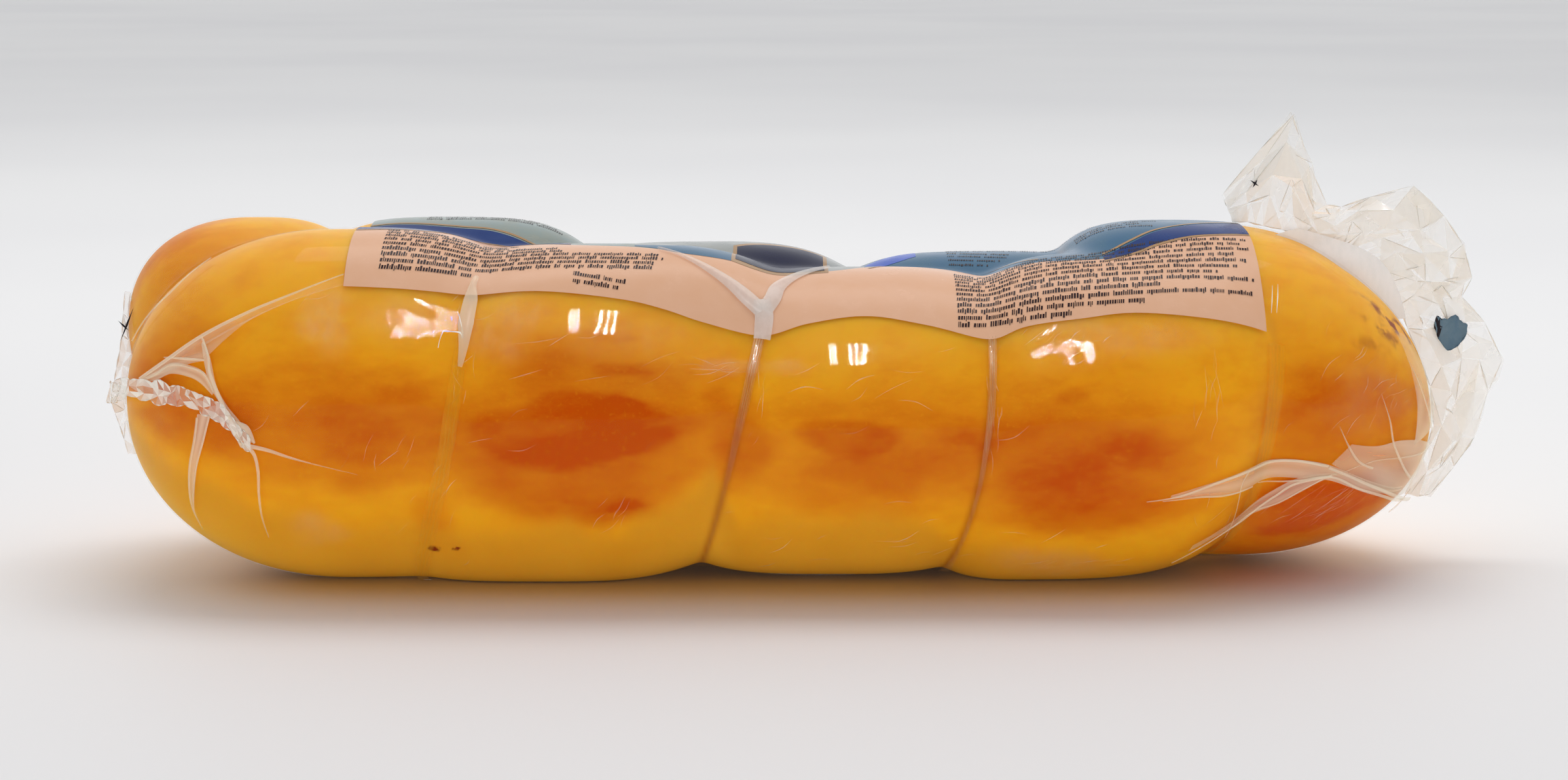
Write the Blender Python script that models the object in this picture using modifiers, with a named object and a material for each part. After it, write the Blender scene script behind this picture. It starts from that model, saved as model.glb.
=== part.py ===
"""A smoked cheese braid sealed in clear shrink film, lying on its side along X.

The filled film is one solid: two rows of barrel-shaped lobes set half a pitch apart, front row towards -Y,
with the film's folds and the strips that bridge its creases. The film gathered at the left end, the long
crumpled film tail at the right end and the paper leaf held under it are pieces of their own.
Lengths are written in millimetres and angles in degrees. A place on the braid is its distance along X and
the angle round the braid's axis: 0 faces the front, 90 up, 180 the back.
"""

import math
from collections import namedtuple

import bmesh
import bpy
import numpy as np
from mathutils import Vector

MM = 0.001

AXIS_HEIGHT = 42.0
CAST_FROM = 90.0
LOBE_SEGMENTS = 36
LOBE_RINGS = 18
SECTION_POWER = 2.15
BARREL_POWER = 3.3
ROUND_END_POWER = 2.1
LOBE_DEPTH = 37.5
CLEARANCE = 0.45

FOLD_THICKNESS = 0.8
FOLD_SINK = 1.2
FOLD_STEPS = 10
FOLD_LOOK = 0.02
FOLD_END_SHARE = 0.3
FOLD_SWAY_RATE = 14.0
CREASE_STRIP_RADIUS = 1.5
STRIP_END_SHARE = 0.55
WEB_STRIP_RADIUS = 2.0
WEB_POINTS = 7
CREASE_ANGLES = (-62.0, -50.0, -35.0, -20.0, -5.0, 10.0, 25.0, 40.0, 54.0)
CREASE_SEARCH = 120
CREASE_MARGIN = 8.0
CREASE_REACH = 20.0

END_FILM_THICKNESS = 0.8
END_FILM_COLUMNS = 64
END_FILM_ROWS = 6
PLEAT_DEPTH = 2.6
PLEATS_ALONG_TAIL = 9.0
PLEAT_SWELL = (0.75, 0.45)
PLEAT_SWELL_RATE = 0.37
FINE_PLEAT_SHARE = 0.5
FINE_PLEAT_RATE = 1.7
GATHER_COLUMNS = 30
GATHER_ROWS = 4
# The gather's ripples: height, and turns and start in radians along it.
GATHER_RIPPLES = ((1.5, 36.0, 0.0), (0.8, 61.0, 1.0))
GATHER_ROOT_SHARE = 0.3
PAPER_THICKNESS = 0.5
TABLE_SIZE = (500.0, 300.0, 100.0)

AMBER = (0.62, 0.22, 0.025)
CLEAR_FILM = (0.78, 0.77, 0.75)
PAPER = (0.85, 0.86, 0.88)

# x, y: middle. left, right: reach each way along X. low, high: underside and top. lean: how far the top stands
# off the middle along X, the underside as far the other way. bow: how far both stand off it the same way.
# depth: half size along Y. left_power, right_power: how square each half is.
Lobe = namedtuple(
    "Lobe",
    "name x y left right low high lean bow depth left_power right_power",
    defaults=(LOBE_DEPTH, BARREL_POWER, BARREL_POWER),
)

FRONT_LOBES = (
    Lobe("front_1", -116.0, -14.5, 55.5, 50.0, -0.5, 87.5, -1.5, -0.5, left_power=ROUND_END_POWER),
    Lobe("front_2", -53.0, -15.5, 53.5, 52.5, -1.5, 83.5, 9.0, -7.5),
    Lobe("front_3", 13.5, -15.0, 51.0, 45.5, 0.5, 77.5, 4.5, -4.5),
    Lobe("front_4", 62.0, -14.5, 35.0, 53.0, -1.0, 81.0, 8.5, 1.5),
    Lobe("front_5", 103.0, 2.5, 38.5, 55.0, 2.0, 87.0, -7.0, -2.0, 42.0, right_power=ROUND_END_POWER),
)
BACK_LOBES = (
    Lobe("back_1", -130.0, 15.0, 44.0, 29.5, -0.5, 87.5, -14.5, -1.0, left_power=ROUND_END_POWER),
    Lobe("back_2", -93.0, 15.5, 44.5, 42.0, -1.0, 87.0, 4.5, -4.0),
    Lobe("back_3", -26.0, 16.0, 48.5, 45.5, -1.0, 80.5, 3.5, -5.5),
    Lobe("back_4", 43.5, 15.5, 45.0, 49.0, -1.0, 78.0, 5.0, -4.5),
    Lobe("back_5", 96.5, 15.0, 38.5, 50.5, -1.0, 86.0, 2.5, -4.5, right_power=2.8),
)

# Folds pinched up in the film: the places each one passes, its height and how far its edge sways.
FOLDS = (
    (((-114, 44), (-127, 36), (-135, 32), (-147, 27), (-155, 23), (-163, 17)), 2.2, 0.5),
    (((-147, 27), (-145, 20), (-144, 13), (-141, 7), (-137, 0), (-134, -3)), 2.2, 0.6),
    (((-134, -3), (-124, -6), (-112, -10)), 1.4, 0.2),
    (((-134, -3), (-133, -10), (-133, -19), (-132, -30)), 1.8, 0.3),
    (((-147, -4), (-149, -10), (-150, -18), (-151, -33)), 1.8, 0.3),
    (((-158, 22), (-152, 22), (-144, 19)), 1.6, 0.4),
    (((82, -17), (98, -13), (109, -12), (125, -15), (135, -21), (142, -27)), 3.0, 0.8),
    (((103, -62), (103, -36), (108, -30), (115, -24), (127, -20)), 2.2, 0.6),
    (((127, -20), (134, -27), (140, -36)), 2.0, 0.5),
    (((128, -3), (132, -11), (137, -20)), 1.4, 0.2),
    (((140, 13), (142, -3), (143, -14)), 1.4, 0.2),
    (((95, 196), (112, 200), (130, 205)), 2.0, 0.6),
    (((-118, 192), (-132, 198), (-146, 205)), 2.0, 0.6),
)
# The web of film over the top of the middle crease forks towards the back lobe on each side.
WEB = (
    ((-13, 24), (-13, 30), (-13, 37)),
    ((-13, 36), (-18, 41), (-24, 47), (-31, 55)),
    ((-13, 36), (-9, 47), (-3, 58)),
)

# Stations along the tail from the lower right round to the top: the inner edge's x, y, z and the outer edge's.
TAIL = (
    (153, 2, 17, 160, 4, 16),
    (158, 5, 26, 167, 9, 23),
    (161, 7, 34, 173, 12, 30),
    (160, 8, 44, 177, 15, 41),
    (157, 9, 52, 181, 17, 50),
    (154, 10, 59, 175, 17, 59),
    (152, 11, 65, 169, 16, 66),
    (150, 12, 71, 171, 18, 72),
    (147, 13, 76, 170, 20, 80),
    (143, 14, 78, 165, 22, 87),
    (139, 14, 79, 158, 22, 94),
    (136, 15, 80, 146, 21, 92),
    (131, 15, 81, 138, 20, 89),
    (127, 16, 82, 133, 20, 90),
    (122, 16, 84, 130, 22, 101),
    (117, 16, 85, 125, 23, 114),
    (113, 16, 86, 117, 22, 104),
    (109, 16, 86, 107, 20, 93),
)
# The film standing off the left end from top to bottom, and the crinkled gather that runs from it to the front.
LEFT_EDGE = (
    (-173.0, 5, 69, -176.0, 6, 69),
    (-174.0, 4, 57, -177.2, 5, 57),
    (-174.0, 3, 48, -178.5, 3, 48),
    (-173.5, 2, 42, -180.0, 2, 42),
    (-173.5, 1, 36, -177.6, 1, 36),
    (-172.5, -1, 28, -175.2, -1, 28),
)
GATHER = (
    (-173.0, 6, 46, -180.0, 5, 43),
    (-173.0, -5, 47, -180.0, -6, 43),
    (-169.0, -15, 48, -177.0, -18, 44),
    (-164.0, -26, 50, -171.0, -31, 45),
    (-157.0, -33, 50, -162.0, -41, 45),
    (-152.0, -38, 49, -155.0, -46, 45),
    (-149.0, -42, 48, -150.0, -48, 45),
)
# The paper leaf from the right of the end up over it: the edge on the cheese, then the free edge.
LEAF = (
    (141, 4, 61, 153, 7, 62),
    (137, 5, 68, 151, 8, 69),
    (131, 6, 73, 147, 9, 76),
    (124, 7, 77, 141, 10, 80),
    (117, 8, 79, 132, 11, 83),
    (111, 9, 81, 125, 11, 85),
)


def clear_scene():
    for item in list(bpy.data.objects):
        bpy.data.objects.remove(item)


def material(name, colour, roughness):
    made = bpy.data.materials.new(name)
    made.use_nodes = True
    shader = made.node_tree.nodes["Principled BSDF"]
    shader.inputs["Base Color"].default_value = (*colour, 1.0)
    shader.inputs["Roughness"].default_value = roughness
    shader.inputs["Metallic"].default_value = 0.0
    return made


def finish_primitive(name):
    made = bpy.context.object
    made.name = name
    made.data.name = name
    return made


def applied(made, modifier):
    bpy.context.view_layer.objects.active = made
    bpy.ops.object.modifier_apply(modifier=modifier.name)


def combined(made, others, operation):
    """Joins the others to made, or cuts them from it, and removes them."""
    group = bpy.data.collections.new(made.name + "_with")
    bpy.context.scene.collection.children.link(group)
    for other in others:
        group.objects.link(other)
    modifier = made.modifiers.new(operation.lower(), "BOOLEAN")
    modifier.operation = operation
    modifier.solver = "EXACT"
    modifier.operand_type = "COLLECTION"
    modifier.collection = group
    applied(made, modifier)
    for other in others:
        bpy.data.objects.remove(other)
    bpy.data.collections.remove(group)


def add_lobe(lobe, grown=0.0):
    """A sphere drawn out into a barrel: square along X, almost round across, leaning and bowed."""
    bpy.ops.mesh.primitive_uv_sphere_add(segments=LOBE_SEGMENTS, ring_count=LOBE_RINGS, radius=1.0)
    made = finish_primitive(lobe.name)
    middle = (lobe.low + lobe.high) / 2
    half_height = (lobe.high - lobe.low) / 2
    for vertex in made.data.vertices:
        across, up, along = vertex.co
        power = lobe.left_power if along < 0 else lobe.right_power
        half_length = lobe.left if along < 0 else lobe.right
        section = (abs(across) ** SECTION_POWER + abs(up) ** SECTION_POWER) ** (1 / SECTION_POWER)
        stretch = (abs(along) ** power + section**power) ** (-1 / power)
        height = up * stretch
        shift = lobe.lean * height + lobe.bow * height**2
        vertex.co = (
            (lobe.x + along * stretch * (half_length + grown) + shift) * MM,
            (lobe.y - across * stretch * (lobe.depth + grown)) * MM,
            (middle + height * (half_height + grown)) * MM,
        )
    return made


def surface(solid, x, angle):
    """The point and the outward normal of the solid at this place."""
    turned = math.radians(angle)
    out = Vector((0.0, -math.cos(turned), math.sin(turned)))
    start = Vector((x, 0.0, AXIS_HEIGHT)) * MM + out * CAST_FROM * MM
    _, point, normal, _ = solid.ray_cast(start, -out)
    return point, normal


def along(stations, u):
    """The stations' values at the share u of the way along them."""
    at = u * (len(stations) - 1)
    return [np.interp(at, range(len(stations)), values) for values in zip(*stations)]


def add_sheet(name, columns, rows, thickness, place):
    """A grid laid by place(u, v), with u and v from 0 to 1, and given a thickness."""
    bpy.ops.mesh.primitive_grid_add(x_subdivisions=columns, y_subdivisions=rows, size=1.0)
    made = finish_primitive(name)
    for vertex in made.data.vertices:
        vertex.co = place(vertex.co.x + 0.5, vertex.co.y + 0.5)
    modifier = made.modifiers.new("thickness", "SOLIDIFY")
    modifier.thickness = thickness * MM
    modifier.offset = 0.0
    applied(made, modifier)
    return made


def add_fold(name, solid, stations, height, sway):
    """A pinch of film standing on the solid along the stations, highest in the middle."""

    def place(u, v):
        point, normal = surface(solid, *along(stations, u))
        ahead, _ = surface(solid, *along(stations, min(u + FOLD_LOOK, 1.0)))
        behind, _ = surface(solid, *along(stations, max(u - FOLD_LOOK, 0.0)))
        aside = (ahead - behind).normalized().cross(normal)
        swell = FOLD_END_SHARE + (1.0 - FOLD_END_SHARE) * math.sin(math.pi * u)
        rise = (FOLD_SINK + height * swell) * v - FOLD_SINK
        return point + (normal * rise + aside * sway * v * math.sin(FOLD_SWAY_RATE * u)) * MM

    return add_sheet(name, FOLD_STEPS, 1, FOLD_THICKNESS, place)


def add_strip(name, points, radius):
    """A round strip of film through the points, thinner towards its ends, as a closed mesh."""
    curve = bpy.data.curves.new(name, "CURVE")
    curve.dimensions = "3D"
    curve.bevel_depth = radius * MM
    curve.bevel_resolution = 1
    curve.use_fill_caps = True
    line = curve.splines.new("POLY")
    line.points.add(len(points) - 1)
    for share, point, target in zip(np.linspace(0.0, 1.0, len(points)), points, line.points):
        target.co = (*point, 1.0)
        target.radius = STRIP_END_SHARE + (1.0 - STRIP_END_SHARE) * math.sin(math.pi * share)
    drawn = bpy.data.objects.new(name + "_line", curve)
    mesh = bpy.data.meshes.new_from_object(drawn)
    bpy.data.objects.remove(drawn)
    welded = bmesh.new()
    welded.from_mesh(mesh)
    bmesh.ops.remove_doubles(welded, verts=welded.verts, dist=0.00001)
    bmesh.ops.recalc_face_normals(welded, faces=welded.faces)
    welded.to_mesh(mesh)
    welded.free()
    made = bpy.data.objects.new(name, mesh)
    bpy.context.scene.collection.objects.link(made)
    return made


def crease_points(solid, before, after, facing):
    """Points along the crease between two lobes of a row, from low to high: there the normal turns back."""
    points = []
    for angle in CREASE_ANGLES:
        turned = angle if facing == "front" else 180.0 - angle
        places = np.linspace(before.x + CREASE_MARGIN, after.x + CREASE_REACH, CREASE_SEARCH)
        found = [surface(solid, x, turned) for x in places]
        turns = [left[1].x - right[1].x for left, right in zip(found, found[1:])]
        at = int(np.argmax(turns))
        points.append((found[at][0] + found[at + 1][0]) / 2)
    return points


def add_braid():
    """The filled film: the lobes, flat where they rest, with the strips over the creases and the folds."""
    lobes = [add_lobe(lobe) for lobe in FRONT_LOBES + BACK_LOBES]
    braid = lobes[0]
    combined(braid, lobes[1:], "UNION")
    extras = []
    for facing, row in (("front", FRONT_LOBES), ("back", BACK_LOBES)):
        for before, after in zip(row, row[1:]):
            points = crease_points(braid, before, after, facing)
            extras.append(add_strip(f"{before.name}_strip", points, CREASE_STRIP_RADIUS))
    for number, stations in enumerate(WEB):
        places = [along(stations, u) for u in np.linspace(0.0, 1.0, WEB_POINTS)]
        points = [surface(braid, *place)[0] for place in places]
        extras.append(add_strip(f"web_{number}", points, WEB_STRIP_RADIUS))
    for number, (stations, height, sway) in enumerate(FOLDS):
        extras.append(add_fold(f"fold_{number}", braid, stations, height, sway))
    combined(braid, extras, "UNION")
    bpy.ops.mesh.primitive_cube_add(size=MM, location=(0.0, 0.0, -TABLE_SIZE[2] / 2 * MM))
    table = finish_primitive("table")
    table.scale = TABLE_SIZE
    combined(braid, [table], "DIFFERENCE")
    braid.name = "braid"
    braid.data.name = "braid"
    return braid


def trim_to(made, lobes):
    """Cuts made back to just clear of these lobes."""
    cutter, *others = [add_lobe(lobe, CLEARANCE) for lobe in lobes]
    combined(cutter, others, "UNION")
    combined(made, [cutter], "DIFFERENCE")


def pleat_wave(turn, v):
    """Uneven pleats: a wave that swells and fades, and a finer one that slants across it."""
    middle, swing = PLEAT_SWELL
    main = (middle + swing * math.sin(PLEAT_SWELL_RATE * turn)) * math.sin(turn)
    return main + FINE_PLEAT_SHARE * math.sin(FINE_PLEAT_RATE * turn + 1.0 + 2.0 * v)


def end_sheet(name, stations, columns, rows, thickness, pleat_depth, pleats):
    """A sheet of film between two edges, pleated more deeply towards its free edge."""

    def place(u, v):
        values = along(stations, u)
        point = Vector(values[:3]).lerp(Vector(values[3:]), v)
        point.y += pleat_depth * v * pleat_wave(math.tau * pleats * u, v)
        return point * MM

    return add_sheet(name, columns, rows, thickness, place)


def add_gather():
    """The crinkled strip of gathered film, waving up and down along its free edge."""

    def place(u, v):
        values = along(GATHER, u)
        point = Vector(values[:3]).lerp(Vector(values[3:]), v)
        ripple = sum(height * math.sin(rate * u + start) for height, rate, start in GATHER_RIPPLES)
        point.z += ripple * (GATHER_ROOT_SHARE + (1.0 - GATHER_ROOT_SHARE) * v)
        return point * MM

    return add_sheet("gather", GATHER_COLUMNS, GATHER_ROWS, END_FILM_THICKNESS, place)


def add_bag_end_left():
    made = end_sheet("bag_end_left", LEFT_EDGE, 24, 4, END_FILM_THICKNESS, 0.8, 3.0)
    combined(made, [add_gather()], "UNION")
    trim_to(made, (FRONT_LOBES[0], BACK_LOBES[0]))
    return made


def add_bag_end_right():
    made = end_sheet(
        "bag_end_right",
        TAIL,
        END_FILM_COLUMNS,
        END_FILM_ROWS,
        END_FILM_THICKNESS,
        PLEAT_DEPTH,
        PLEATS_ALONG_TAIL,
    )
    trim_to(made, (FRONT_LOBES[4], BACK_LOBES[4]))
    return made


def add_paper_leaf():
    made = end_sheet("paper_leaf", LEAF, 16, 5, PAPER_THICKNESS, 0.0, 0.0)
    trim_to(made, (FRONT_LOBES[4], BACK_LOBES[4]))
    return made


def main():
    clear_scene()
    film_over_cheese = material("film_over_cheese", AMBER, 0.25)
    clear_film = material("clear_film", CLEAR_FILM, 0.2)
    paper = material("paper", PAPER, 0.6)
    finished = (
        (add_braid(), film_over_cheese),
        (add_bag_end_left(), clear_film),
        (add_bag_end_right(), clear_film),
        (add_paper_leaf(), paper),
    )
    for made, surfacing in finished:
        made.data.materials.clear()
        made.data.materials.append(surfacing)
        made.data.shade_smooth()


main()
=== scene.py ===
import math
import random
from collections import namedtuple

import bpy
import numpy as np
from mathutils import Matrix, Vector


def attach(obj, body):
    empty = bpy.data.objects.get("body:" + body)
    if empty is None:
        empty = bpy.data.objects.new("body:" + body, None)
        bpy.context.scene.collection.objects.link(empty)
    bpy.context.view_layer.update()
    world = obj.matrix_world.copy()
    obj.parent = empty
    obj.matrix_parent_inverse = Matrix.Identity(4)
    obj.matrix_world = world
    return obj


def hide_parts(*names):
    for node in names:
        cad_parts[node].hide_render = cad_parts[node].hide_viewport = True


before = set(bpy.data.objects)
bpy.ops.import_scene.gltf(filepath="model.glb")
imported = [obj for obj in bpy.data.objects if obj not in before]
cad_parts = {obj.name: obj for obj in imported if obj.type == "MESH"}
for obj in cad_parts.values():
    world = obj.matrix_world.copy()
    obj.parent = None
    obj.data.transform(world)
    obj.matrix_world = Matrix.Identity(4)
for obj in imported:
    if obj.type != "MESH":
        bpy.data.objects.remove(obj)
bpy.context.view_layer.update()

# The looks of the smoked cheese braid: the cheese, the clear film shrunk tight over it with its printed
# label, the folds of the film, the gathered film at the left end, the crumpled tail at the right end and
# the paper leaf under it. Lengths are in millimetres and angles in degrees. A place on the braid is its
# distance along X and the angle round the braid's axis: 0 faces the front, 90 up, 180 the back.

MM = 0.001

# The photograph's camera.
PHOTO_WIDTH = 2395
FOCAL_PIXELS = 4560
SENSOR_WIDTH = 36.0
CAMERA_DISTANCE = 764.0
CAMERA_ELEVATION = 9.13
LOOK_AT = (-7.0, 0.5, 44.4)

# The lobes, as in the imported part's source.
AXIS_HEIGHT = 42.0
SECTION_POWER = 2.15
BARREL_POWER = 3.3
ROUND_END_POWER = 2.1
LOBE_DEPTH = 37.5

Lobe = namedtuple(
    "Lobe",
    "name x y left right low high lean bow depth left_power right_power",
    defaults=(LOBE_DEPTH, BARREL_POWER, BARREL_POWER),
)

FRONT_LOBES = (
    Lobe("front_1", -116.0, -14.5, 55.5, 50.0, -0.5, 87.5, -1.5, -0.5, left_power=ROUND_END_POWER),
    Lobe("front_2", -53.0, -15.5, 53.5, 52.5, -1.5, 83.5, 9.0, -7.5),
    Lobe("front_3", 13.5, -15.0, 51.0, 45.5, 0.5, 77.5, 4.5, -4.5),
    Lobe("front_4", 62.0, -14.5, 35.0, 53.0, -1.0, 81.0, 8.5, 1.5),
    Lobe("front_5", 103.0, 2.5, 38.5, 55.0, 2.0, 87.0, -7.0, -2.0, 42.0, right_power=ROUND_END_POWER),
)
BACK_LOBES = (
    Lobe("back_1", -130.0, 15.0, 44.0, 29.5, -0.5, 87.5, -14.5, -1.0, left_power=ROUND_END_POWER),
    Lobe("back_2", -93.0, 15.5, 44.5, 42.0, -1.0, 87.0, 4.5, -4.0),
    Lobe("back_3", -26.0, 16.0, 48.5, 45.5, -1.0, 80.5, 3.5, -5.5),
    Lobe("back_4", 43.5, 15.5, 45.0, 49.0, -1.0, 78.0, 5.0, -4.5),
    Lobe("back_5", 96.5, 15.0, 38.5, 50.5, -1.0, 86.0, 2.5, -4.5, right_power=2.8),
)
LOBES = FRONT_LOBES + BACK_LOBES

# A skin is a surface drawn over the lobes: how widely it bridges the creases, how far it stands off the
# lobes, and its lowest height.
Skin = namedtuple("Skin", "blend offset low")
CHEESE = Skin(0.5, -0.3, 0.3)
FILM = Skin(1.1, 0.0, 0.0)

# Rays start this far from the axis, and close in by this share of the distance left at each step.
CAST_FROM = 100.0
CAST_STEPS = 30
CAST_CARE = 0.7
# A shell's rays, along and round the braid. Beyond these x they fan out over the ends.
SHELL_COLUMNS = 380
SHELL_TURNS = 240
FAN_LEFT = -134.0
FAN_RIGHT = 116.0
FAN_RADIUS = 38.0
# About the length of a degree on the surface.
MM_PER_DEGREE = 0.75


def srgb(red, green, blue):
    """The linear colour for these values from 0 to 255."""
    shares = [value / 255 for value in (red, green, blue)]
    linear = [s / 12.92 if s <= 0.04045 else ((s + 0.055) / 1.055) ** 2.4 for s in shares]
    return (*linear, 1.0)


def smoothstep(low, high, value):
    share = np.clip((value - low) / (high - low), 0.0, 1.0)
    return share * share * (3.0 - 2.0 * share)


def grid_shares(columns, rows):
    """The share from 0 to 1 along and across a grid, at each of its points."""
    return np.meshgrid(np.linspace(0, 1, columns), np.linspace(0, 1, rows), indexing="ij")


def spread(values, share):
    """The value at the share, with the values spread evenly from 0 to 1 and straight between."""
    return np.interp(share, np.linspace(0, 1, len(values)), values)


def smooth(stations, share):
    """The smooth curve through stations that are spread evenly over the share from 0 to 1."""
    knots = np.array(stations, float)
    last = len(knots) - 1
    at = np.asarray(share) * last
    first = np.minimum(at.astype(int), last - 1)
    t = (at - first)[..., None]
    before, start, end, after = (knots[np.clip(first + step, 0, last)] for step in (-1, 0, 1, 2))
    curve = 2 * start + (end - before) * t
    curve += (2 * before - 5 * start + 4 * end - after) * t**2
    curve += (3 * start - before - 3 * end + after) * t**3
    return curve / 2


# ---------------------------------------------------------------- the braid's shape

def angle_round(points):
    """The angle of these points round the braid's axis."""
    return np.degrees(np.arctan2(points[..., 2] - AXIS_HEIGHT, -points[..., 1])) % 360


# Slow waves all over the cheese and the film: height, wavelengths along X, Y and Z, and start.
UNDULATIONS = (
    (0.06, (86.0, 90.0, 70.0), 0.3),
    (0.03, (-63.0, 65.0, 54.0), 1.9),
)
# Places where the surface leans a little: x, angle, half length, half height, the slopes along X and up,
# and how much more the slope along X is with each millimetre.
LEANS = (
    (-99.0, 27.0, 12.0, 8.0, -0.03, -0.1, 0.006),
    (-50.0, 31.0, 34.0, 18.0, -0.07, 0.065, -0.001),
    (63.0, 20.5, 11.0, 7.0, 0.065, -0.13, 0.0),
)


def undulation(points):
    """How far the waves and the leans raise the surface at these points."""
    x = points[..., 0]
    angle = angle_round(points)
    rise = 0.0
    for height, wavelengths, start in UNDULATIONS:
        phase = sum(points[..., axis] / length for axis, length in enumerate(wavelengths))
        rise = rise + height * np.sin(math.tau * phase + start)
    for at_x, at_angle, half_x, half_angle, slope_x, slope_up, hollow in LEANS:
        far = ((x - at_x) / half_x) ** 2 + ((angle - at_angle) / half_angle) ** 2
        lean = slope_x * (x - at_x) + hollow / 2 * (x - at_x) ** 2
        lean = lean + slope_up * MM_PER_DEGREE * (angle - at_angle)
        rise = rise + lean * np.exp(-(far**2))
    return rise


def lobe_level(points, lobe):
    """Roughly the distance from the lobe's surface, less than 0 inside."""
    half_height = (lobe.high - lobe.low) / 2
    up = (points[..., 2] - (lobe.high + lobe.low) / 2) / half_height
    across = (points[..., 1] - lobe.y) / lobe.depth
    along = points[..., 0] - lobe.x - lobe.lean * up - lobe.bow * up**2
    section = (np.abs(across) ** SECTION_POWER + np.abs(up) ** SECTION_POWER) ** (1 / SECTION_POWER)
    reach = np.where(along < 0, lobe.left, lobe.right)
    power = np.where(along < 0, lobe.left_power, lobe.right_power)
    radius = ((np.abs(along) / reach) ** power + section**power) ** (1 / power)
    return (radius - 1) * (lobe.depth + half_height) / 2


def braid_level(points, blend):
    """Roughly the distance from the whole braid's surface, with its creases bridged by the blend."""
    levels = np.stack([lobe_level(points, lobe) for lobe in LOBES])
    nearest = levels.min(axis=0)
    bridged = nearest - blend * np.log(np.exp((nearest - levels) / blend).sum(axis=0))
    return bridged - undulation(points)


def cast(origins, directions, skin, lift=0.0):
    """The points where rays from the axis leave the skin, found by closing in from outside."""
    reach = np.full(directions.shape[:-1], CAST_FROM)
    for _ in range(CAST_STEPS):
        points = origins + directions * reach[..., None]
        reach = reach - CAST_CARE * (braid_level(points, skin.blend) - skin.offset - lift)
    points = origins + directions * reach[..., None]
    points[..., 2] = np.maximum(points[..., 2], skin.low)
    return points, reach


def surface(x, angle, skin=FILM, lift=0.0):
    """The points of the skin at these places."""
    x, angle = np.broadcast_arrays(np.asarray(x, float), np.asarray(angle, float))
    turned = np.radians(angle)
    nowhere = np.zeros_like(x)
    origins = np.stack([x, nowhere, nowhere + AXIS_HEIGHT], axis=-1)
    directions = np.stack([nowhere, -np.cos(turned), np.sin(turned)], axis=-1)
    return cast(origins, directions, skin, lift)[0]


def shell_rays():
    """Rays all round the braid: straight out from its axis, and fanned out over both ends."""
    quarter = FAN_RADIUS * math.pi / 2
    margin = quarter / SHELL_COLUMNS
    length = FAN_RIGHT - FAN_LEFT
    along = np.linspace(margin - quarter, length + quarter - margin, SHELL_COLUMNS)
    straight = np.clip(along, 0.0, length)
    swing = ((along - straight) / FAN_RADIUS)[:, None]
    turned = np.linspace(0.0, math.tau, SHELL_TURNS, endpoint=False)[None, :]
    origins = np.zeros((SHELL_COLUMNS, SHELL_TURNS, 3))
    origins[..., 0] = FAN_LEFT + straight[:, None]
    origins[..., 2] = AXIS_HEIGHT
    outward = (np.sin(swing) + 0 * turned, -np.cos(swing) * np.cos(turned), np.cos(swing) * np.sin(turned))
    return origins, np.stack(outward, axis=-1)


# A crease is looked for from one lobe's middle to this far past the next one's, in this many steps.
SEAM_REACH = 12.0
SEAM_STEPS = 700


def seam(before, after, angles):
    """The x of the crease between two neighbouring lobes at each of the angles."""
    x = np.linspace(before.x, after.x + SEAM_REACH, SEAM_STEPS)
    points = surface(x[None, :], np.asarray(angles, float)[:, None], CHEESE)
    lead = np.abs(lobe_level(points, before) - lobe_level(points, after))
    return x[lead.argmin(axis=1)]


# ---------------------------------------------------------------- meshes

def grid_faces(columns, rows, closed=False):
    """The quads of a grid listed column by column; closed joins its last row to its first."""
    corner = np.arange(columns * rows).reshape(columns, rows)
    upper = np.roll(corner, -1, axis=1)
    if not closed:
        corner, upper = corner[:, :-1], upper[:, :-1]
    quads = np.stack([corner[:-1], corner[1:], upper[1:], upper[:-1]], axis=-1)
    return quads.reshape(-1, 4).tolist()


def add_object(name, data):
    made = bpy.data.objects.new(name, data)
    bpy.context.scene.collection.objects.link(made)
    return made


def add_mesh(name, points, faces, material):
    mesh = bpy.data.meshes.new(name)
    mesh.from_pydata((np.reshape(points, (-1, 3)) * MM).tolist(), [], faces)
    mesh.shade_smooth()
    mesh.materials.append(material)
    made = add_object(name, mesh)
    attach(made, "root")
    return made


def paint(made, **values):
    """Gives the mesh a named value at each of its points, which its material reads."""
    for name, shares in values.items():
        attribute = made.data.attributes.new(name, "FLOAT", "POINT")
        attribute.data.foreach_set("value", np.ravel(shares).astype(np.float32))


def add_shell(name, skin, material):
    """A closed mesh of the skin, and the reach of each of its rays."""
    origins, directions = shell_rays()
    points, reach = cast(origins, directions, skin)
    poles = [points[0].mean(axis=0), points[-1].mean(axis=0)]
    everything = np.concatenate([points.reshape(-1, 3), poles])
    faces = grid_faces(SHELL_COLUMNS, SHELL_TURNS, closed=True)
    left_pole = SHELL_COLUMNS * SHELL_TURNS
    last_column = left_pole - SHELL_TURNS
    for turn in range(SHELL_TURNS):
        following = (turn + 1) % SHELL_TURNS
        faces.append((left_pole, turn, following))
        faces.append((last_column + turn, left_pole + 1, last_column + following))
    return add_mesh(name, everything, faces, material), everything, reach


def with_poles(shares):
    """Values of a shell's rays, with the means of its first and last column for its poles."""
    return np.concatenate([shares.ravel(), [shares[0].mean(), shares[-1].mean()]])


# ---------------------------------------------------------------- materials

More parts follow.
